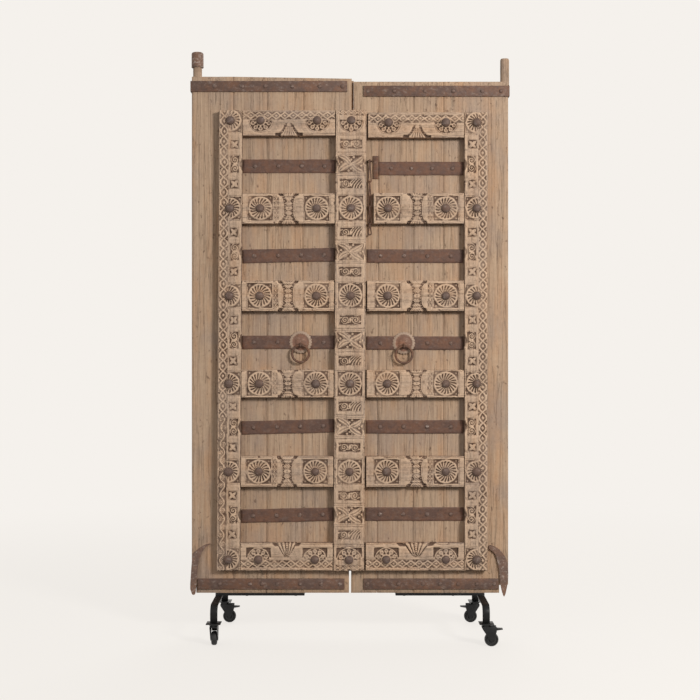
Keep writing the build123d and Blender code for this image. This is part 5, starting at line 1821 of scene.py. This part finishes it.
    def centre_stile(self, seed: int) -> None:
        """Carves the centre stile: rosettes, bows and scroll panels between plain mouldings.

        Args:
            seed: seed of its wear.
        """
        node, plan = "centre_carved_stile", self.centre
        low, high = self.shop.box(node)
        height = high[2] - low[2]
        middle_x, _, middle_z = (low + high) / 2
        half = plan.width / 2
        u, v = self.hand_cut(plan.width, height, seed)
        beside = np.abs(u)
        near = self.bosses[np.abs(self.bosses[:, 0] - middle_x) < half]
        rows = sorted({round(float(boss[1]), 1) for boss in near}, reverse=True)
        depth = Motif.moulding(beside, (half - plan.edge_line,))
        for row in rows[1:-1]:
            local = v - (row - middle_z)
            rosette = np.maximum(depth, Motif(u, local).rosette(plan.rosette, plan.petals, plan.sweep))
            depth = np.where(np.abs(local) < plan.rosette_reach, rosette, depth)
            depth = np.maximum(depth, Motif.moulding(local, (-plan.row_line, plan.row_line)))
        for sign, row in ((1.0, rows[0]), (-1.0, rows[-1])):
            local = v - (row - middle_z)
            fan = Motif(u, -sign * local).fan(plan.fan, plan.lobes, sign < 0)
            depth = np.maximum(depth, fan * (beside < half - plan.fan_margin))
            edge = height / 2 - sign * v
            strip = Motif(edge - plan.strip, u).lattice(plan.strip_half, plan.strip_pitch)
            strip = strip * (np.hypot(u, local) > plan.boss_reach)
            depth = np.maximum(depth, strip * (beside < half - plan.strip_margin))
            depth = np.maximum(depth, Motif.moulding(sign * local, plan.end_lines))
        for bay, (z, tall) in enumerate(self.bays):
            local = v - (z - middle_z)
            for side in (-self.panel_share, self.panel_share):
                away = local - side * tall
                panel = Motif(u, away).scrolls(*plan.scroll, (bay + (side > 0)) % 2 == 0)
                depth = np.maximum(depth, panel * (np.abs(away) < plan.scroll_reach))
            depth = np.maximum(depth, Motif(u, local).bow(half - plan.side_margin, plan.bow))
            depth = np.maximum(depth, Motif.moulding(local, plan.bow_lines))
            sway = plan.notch_sway * np.cos(local / plan.notch_reach * math.pi)
            notch = step(half - plan.side_margin, half - plan.notch_end, beside + sway)
            depth = np.maximum(depth, self.notch_depth * notch * (np.abs(local) < plan.notch_reach))
        self.piece(node, depth, (plan.width, height), Grain.UPRIGHT, self.lean, seed)


@dataclass
class IronWork:
    """Straps, horns, ferrule, nails, ring pulls and the chain."""

    shop: Workshop
    boss_head: tuple[float, float, float] = (17.2, 12.4, 1.6)
    strap_head: tuple[float, float, float] = (8.4, 4.9, 0.8)
    scallops: int = 24
    ring_bar: float = 5.0
    eye_bar: float = 3.0
    link_bar: float = 2.6
    horn_round: float = 2.0
    strap_cell: float = 3.6
    strap_wear: float = 0.9
    staple_shares: tuple[float, ...] = (0.1, 0.25, 0.75, 0.9)

    def build(self) -> None:
        """Builds all the iron."""
        for node in ("left_edge_straps", "right_edge_straps"):
            self.shop.softened(node, "edge_strap_iron", 1.0)
        for node, seed in (("left_panel_straps", 600), ("right_panel_straps", 700)):
            slabs = [self.strap(points, seed + index) for index, points in enumerate(self.shop.solids(node))]
            self.shop.fitted(node, "forged", slabs, "strap_iron")
        self.shop.softened("chain_plate", "ring_iron", 0.9)
        for node in ("left_pivot_irons", "right_pivot_horn"):
            self.pivot_irons(node)
        nails = ForgedNails(self.shop)
        nails.build("boss_nails", "nail_iron", *self.boss_head, seed=4)
        nails.build("strap_nails", "strap_nail_iron", *self.strap_head, seed=9)
        bars = ForgedBars(self.shop)
        self.pull_plates()
        self.ring_pulls(bars)
        self.chain(bars)

    def strap(self, points: Table, seed: int) -> Slab:
        """One forged strap with a hammered face and worn edges.

        Args:
            points: corner points of its solid.
            seed: seed of its wear.

        Returns:
            The slab.
        """
        corners = Boards.corners(points)
        width, height = corners[1, 0] - corners[0, 0], corners[3, 1] - corners[0, 1]
        s, t = np.meshgrid(*(np.linspace(0, 1, int(size / self.strap_cell)) for size in (width, height)))
        bottom, top = edges_at(corners, s)
        bite = self.strap_wear * (1 + smooth_noise(s * width / 55, np.round(t) * 9, seed)) / height
        place = bottom + (top - bottom) * (bite + t * (1 - 2 * bite))[..., None]
        x, z = place[..., 0], place[..., 1]
        edge = inset(s, t, width, height)
        depth = 0.5 + 0.4 * smooth_noise(x / 14, z / 14, seed + 3) + 1.6 * np.clip(1 - edge / 3.0, 0, 1) ** 2
        return Slab(x, z, points[:, 1].min() + np.maximum(depth, 0), float(points[:, 1].max()))

    def pivot_irons(self, node: str) -> None:
        """Forged horn with a flowing outline and hammered edges, and the ferrule where the node has one.

        Args:
            node: the node.
        """
        work = self.shop.merged(node, flat=True)
        flat = max((face for face in work.faces if face.normal.y < -0.99), key=lambda face: face.calc_area())
        outline = np.array([vert.co[:] for vert in flat.verts])
        island = self.shop.island(flat.verts[0])
        back = max(vert.co.y for vert in island)
        bmesh.ops.delete(work, geom=list(island), context="VERTS")
        ring = np.clip(self.flowing(outline), outline.min(0), outline.max(0))
        sides = []
        for depth in (outline[0, 1], back):
            sides.append([work.verts.new((x, depth, z)) for x, _, z in ring])
        work.faces.new(sides[0])
        work.faces.new(sides[1][::-1])
        for spot, (front, behind) in enumerate(zip(*sides)):
            after = (spot + 1) % len(ring)
            work.faces.new((front, behind, sides[1][after], sides[0][after]))
        mesh = self.shop.rounded(work, f"{node}_forged", self.horn_round, 3, hard=50.0)
        self.shop.dressed(node, "piece", mesh, "horn_iron", 44.0)

    @staticmethod
    def flowing(corners: Table, parts: int = 6) -> Table:
        """Closed curve through corner points.

        Args:
            corners: the points, in order.
            parts: how many points each span is divided into.

        Returns:
            The finer points.
        """
        before, after, beyond = np.roll(corners, 1, 0), np.roll(corners, -1, 0), np.roll(corners, -2, 0)
        rows = []
        for t in np.arange(parts) / parts:
            rows.append(0.5 * (2 * corners + (after - before) * t
                               + (2 * before - 5 * corners + 4 * after - beyond) * t ** 2
                               + (3 * corners - before - 3 * after + beyond) * t ** 3))
        return np.stack(rows, 1).reshape(-1, 3)

    def ring_pulls(self, bars: ForgedBars) -> None:
        """Eyes and rings.

        Args:
            bars: the maker of bars.
        """
        eyes = []
        for points in self.shop.solids("pull_eyes"):
            low, high = points.min(0), points.max(0)
            x, _, z = (low + high) / 2
            reach = (high[2] - low[2]) / 2 - self.eye_bar
            bow = low[1] + self.eye_bar
            upper = [(x, high[1], z + reach), (x, bow + reach * 0.6, z + reach), (x, bow, z + reach * 0.7)]
            lower = [(x, bow, z - reach * 0.7), (x, bow + reach * 0.6, z - reach), (x, high[1], z - reach)]
            eyes.append(bars.rounded(np.array(upper + lower), False))
        bars.build("pull_eyes", eyes, False, radius=self.eye_bar - 0.15, dent=0.3)
        for node in ("left_pull_ring", "right_pull_ring"):
            low, high = self.shop.box(node)
            middle = (low + high) / 2
            radius = (high[2] - low[2]) / 2 - self.ring_bar
            turn = np.linspace(0, FULL_TURN, 72, endpoint=False)
            path = np.stack([middle[0] + radius * np.cos(turn), np.full_like(turn, middle[1]),
                             middle[2] + radius * np.sin(turn)], -1)
            bars.build(node, [path], True, radius=self.ring_bar - 0.35, dent=0.5)

    def pull_plates(self) -> None:
        """Scalloped plates with a raised middle, as one piece."""
        slabs = []
        for index, points in enumerate(self.shop.solids("pull_plates")):
            low, high = points.min(0), points.max(0)
            x0, _, z0 = (low + high) / 2
            radius = (high[2] - low[2]) / 2
            around = np.linspace(0, FULL_TURN, 120, endpoint=False)
            turn, share = np.meshgrid(around, np.linspace(0.02, 1, 30))
            lobe = np.cos(turn * self.scallops)
            lobes = radius * (0.965 + 0.035 * lobe)
            r = share * lobes
            thick = high[1] - low[1]
            dome = thick * fade(0.28, 0.60, share) * 0.62
            rim = 3.0 + 1.0 * ridge(share - 0.80, 0.05) - 2.2 * step(0.94, 1.0, share)
            flute = 0.9 * (0.5 + 0.5 * lobe) * step(0.80, 0.93, share)
            dents = 0.35 * smooth_noise(r * np.cos(turn) / 6, r * np.sin(turn) / 6, 31 + index)
            height = np.clip(rim - flute + dome + dents * step(0.0, 0.1, share), 0.5, thick)
            rings = np.stack([x0 + r * np.cos(turn), high[1] - height, z0 + r * np.sin(turn)], -1)
            behind = rings[-1:].copy()
            behind[..., 1] = high[1]
            rings = np.concatenate([rings, behind])
            pale = np.concatenate([step(0.70, 0.82, share), np.ones((1, turn.shape[1]))])
            slabs.append(Turned(rings[::-1], {"tone": pale[::-1]}))
        self.shop.fitted("pull_plates", "pair", slabs, "plate_iron")

    def chain(self, bars: ForgedBars) -> None:
        """Staple and long twisted links.

        Args:
            bars: the maker of bars.
        """
        low, high = self.shop.box("chain_staple")
        z, bar = (low[2] + high[2]) / 2, self.link_bar
        left, right, front = low[0] + bar, high[0] - bar, low[1] + bar
        path = np.array([(left, high[1], z), (left, front, z), (right, front, z), (right, high[1], z)])
        crown = [path[1] + (path[2] - path[1]) * share for share in self.staple_shares]
        legs = [path[foot] * 0.2 + path[top] * 0.8 for foot, top in ((0, 1), (3, 2))]
        path = np.array([path[0], legs[0], *crown, legs[1], path[3]])
        bars.build("chain_staple", [bars.rounded(path, False)], False, radius=bar - 0.1, dent=0.25)
        for number in range(1, 5):
            node = f"chain_link_{number}"
            low, high = self.shop.box(node)
            middle = (low + high) / 2
            half = (high[0] - low[0]) / 2 - bar
            top, foot = high[2] - bar, low[2] + bar
            flat, fall = half * 0.45, half * 0.6
            x, y, _ = middle
            path = np.array([
                (x, y - flat, top), (x, y + flat, top), (x, y + half, top - fall),
                (x + half, y, foot + fall), (x + flat, y, foot), (x - flat, y, foot),
                (x - half, y, foot + fall), (x, y - half, top - fall),
            ])
            bars.build(node, [bars.rounded(path, True)], True, radius=bar - 0.15, dent=0.3)


@dataclass
class RollingStand:
    """Black stand, joining bars, battens and the casters."""

    shop: Workshop
    wheel_segments: int = 72
    bars: Sequence[tuple[str, str, float, int]] = (
        ("left_stand", "stand_paint", 1.0, 2), ("right_stand", "stand_paint", 1.0, 2),
        ("joining_bars", "stand_paint", 0.8, 2), ("back_battens", "back_battens_wood", 2.2, 3),
        ("fixing_screws", "caster_steel", 1.2, 3), ("caster_plates", "caster_steel", 0.6, 2),
    )
    tread: Sequence[tuple[float, float]] = (
        (0.0, 0.17), (0.30, 0.17), (0.34, 0.20), (0.36, 0.34), (0.40, 0.36), (0.46, 0.40), (0.46, 0.62),
        (0.40, 0.66), (0.36, 0.70), (0.40, 0.76), (0.46, 0.80), (0.44, 0.87), (0.36, 0.94), (0.24, 0.985),
        (0.10, 1.0),
    )

    def build(self) -> None:
        """Builds the stand and its casters."""
        for node, finish, width, segments in self.bars:
            self.shop.softened(node, finish, width, segments)
        for corner in ("front_left", "front_right", "rear_left", "rear_right"):
            self.shop.softened(f"{corner}_fork", "caster_steel", 0.5)
            self.shop.softened(f"{corner}_pedal", "pedal_plastic", 0.7, 3)
            self.wheel(f"{corner}_wheel")

    def wheel(self, node: str) -> None:
        """Wheel with a rounded tread, grooved sides and a hub.

        Args:
            node: the wheel's node.
        """
        low, high = self.shop.box(node)
        middle = (low + high) / 2
        size = high - low
        lying = int(np.argmin(size[:2]))
        width, radius = size[lying], size[2] / 2
        profile = [(side * width, r * radius) for side, r in self.tread]
        profile += [(-side, r) for side, r in reversed(profile) if side]
        turn = np.linspace(0, FULL_TURN, self.wheel_segments, endpoint=False)
        points = np.zeros((len(profile), len(turn), 3))
        for ring, (along, r) in zip(points, profile):
            ring[:, lying] = along
            ring[:, 1 - lying] = r * np.cos(turn)
            ring[:, 2] = r * np.sin(turn)
        index = np.arange(points.size // 3).reshape(points.shape[:2])
        beside = np.roll(index, -1, 1)
        quads = np.stack([index, beside, np.roll(beside, -1, 0), np.roll(index, -1, 0)], -1)
        mesh = bpy.data.meshes.new(node)
        mesh.from_pydata(((points + middle).reshape(-1, 3) * MM).tolist(), [], quads.reshape(-1, 4).tolist())
        work = bmesh.new()
        work.from_mesh(mesh)
        bmesh.ops.recalc_face_normals(work, faces=work.faces)
        work.to_mesh(mesh)
        work.free()
        self.shop.dressed(node, "tyre", mesh, "wheel_rubber", 40.0)


@dataclass
class Studio:
    """Pale floor, soft light and the camera."""

    distance: float = 5.02
    eye_height: float = 1.139
    view_width: float = 2.8
    plane_depth: float = -0.02
    floor_colour: Colour = srgb(106, 105, 103)
    paper_glow: Colour = srgb(245, 241, 236)
    soft_light: float = 0.55
    floor_radius: float = 30.0
    floor_sides: int = 64
    floor_fade: tuple[float, float] = (1.4, 4.6)
    floor_glow: float = 0.83

    def build(self) -> None:
        """Builds the stage, the lamps and the camera."""
        self.floor()
        self.lamp("key", (3.0, -4.0, 2.9), (0.1, 0.0, 1.2), 1.0, 200.0, (1.0, 0.97, 0.93))
        self.lamp("fill", (-3.4, -4.2, 2.0), (0.0, 0.0, 1.1), 2.6, 34.0, (0.97, 0.98, 1.0))
        self.lamp("rear", (0.6, 3.4, 3.6), (0.0, 0.0, 1.2), 2.2, 70.0, (1.0, 0.98, 0.96))
        self.surroundings()
        bpy.context.scene.view_settings.view_transform = "Standard"
        self.camera()

    def surroundings(self) -> None:
        """Soft light from all round, seen as pale paper."""
        world = bpy.data.worlds.new("studio")
        world.use_nodes = True
        wiring = Wiring(world.node_tree)
        paper = wiring.tree.nodes["Background"].inputs
        strength = wiring.node("ShaderNodeMapRange", Value=self.seen(wiring), To_Min=self.soft_light)
        wiring.feed(paper[0], (*self.paper_glow, 1.0))
        wiring.feed(paper[1], strength.outputs[0])
        bpy.context.scene.world = world

    @staticmethod
    def seen(wiring: Wiring) -> Socket:
        """1 where a surface is seen directly, in a shine or through clear stuff, 0 where it only gives light.

        Args:
            wiring: the node tree it is added to.

        Returns:
            The value's socket.
        """
        paths = wiring.node("ShaderNodeLightPath").outputs
        either = wiring.math("MAXIMUM", paths["Is Camera Ray"], paths["Is Glossy Ray"])
        return wiring.math("MAXIMUM", either, paths["Is Transmission Ray"])

    def floor(self) -> None:
        """Round floor that takes the door's shadow near the middle and fades into the paper further out."""
        turns = [FULL_TURN * part / self.floor_sides for part in range(self.floor_sides)]
        radius = self.floor_radius
        rim = [(radius * math.cos(turn), radius * math.sin(turn), 0.0) for turn in turns]
        mesh = bpy.data.meshes.new("studio_floor")
        mesh.from_pydata(rim, [], [list(range(self.floor_sides))])
        sketch = Sketch("studio_paper")
        reach = sketch.node("ShaderNodeVectorMath", {"operation": "LENGTH"})
        sketch.feed(reach.inputs[0], sketch.stretched(1.0))
        near, far = self.floor_fade
        outward = sketch.node("ShaderNodeMapRange", {"interpolation_type": "SMOOTHSTEP"},
                              Value=reach.outputs["Value"], From_Min=near, From_Max=far).outputs[0]
        glow = sketch.span(outward, self.floor_glow, 1.0)
        material = sketch.done(
            Base_Color=sketch.mix(outward, self.floor_colour, BLACK), Roughness=0.9, Specular_IOR_Level=0.0,
            Emission_Color=self.paper_glow, Emission_Strength=sketch.math("MULTIPLY", self.seen(sketch), glow)
        )
        new_object("studio_floor", mesh, material)

    @staticmethod
    def lamp(name: str, place: Sequence[float], target: Sequence[float], size: float, power: float,
             colour: Colour) -> None:
        """Adds a soft square lamp.

        Args:
            name: its name.
            place, target: where it is and what it points at.
            size: its side in metres.
            power: its power in watts.
            colour: its colour.
        """
        light = bpy.data.lights.new(name, "AREA")
        light.size = size
        light.energy = power
        light.color = colour
        made = placed(name, light)
        made.location = place
        made.rotation_euler = (Vector(target) - Vector(place)).to_track_quat("-Z", "Y").to_euler()

    def camera(self) -> None:
        """Adds the camera, level and straight on."""
        data = bpy.data.cameras.new("camera")
        data.sensor_fit = "HORIZONTAL"
        data.angle = 2 * math.atan(self.view_width / 2 / (self.distance + self.plane_depth))
        made = placed("camera", data)
        made.location = (0.0, -self.distance, self.eye_height)
        made.rotation_euler = (math.pi / 2, 0.0, 0.0)
        bpy.context.scene.camera = made


def main() -> None:
    """Builds the scene."""
    logging.basicConfig(level=logging.INFO, format="%(name)s: %(message)s")
    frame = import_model()
    shop = Workshop(frame, Finishes().build())
    Studio().build()
    Boards(shop).build()
    CarvedFrame(shop).build()
    IronWork(shop).build()
    RollingStand(shop).build()


if __name__ == "__main__":
    main()
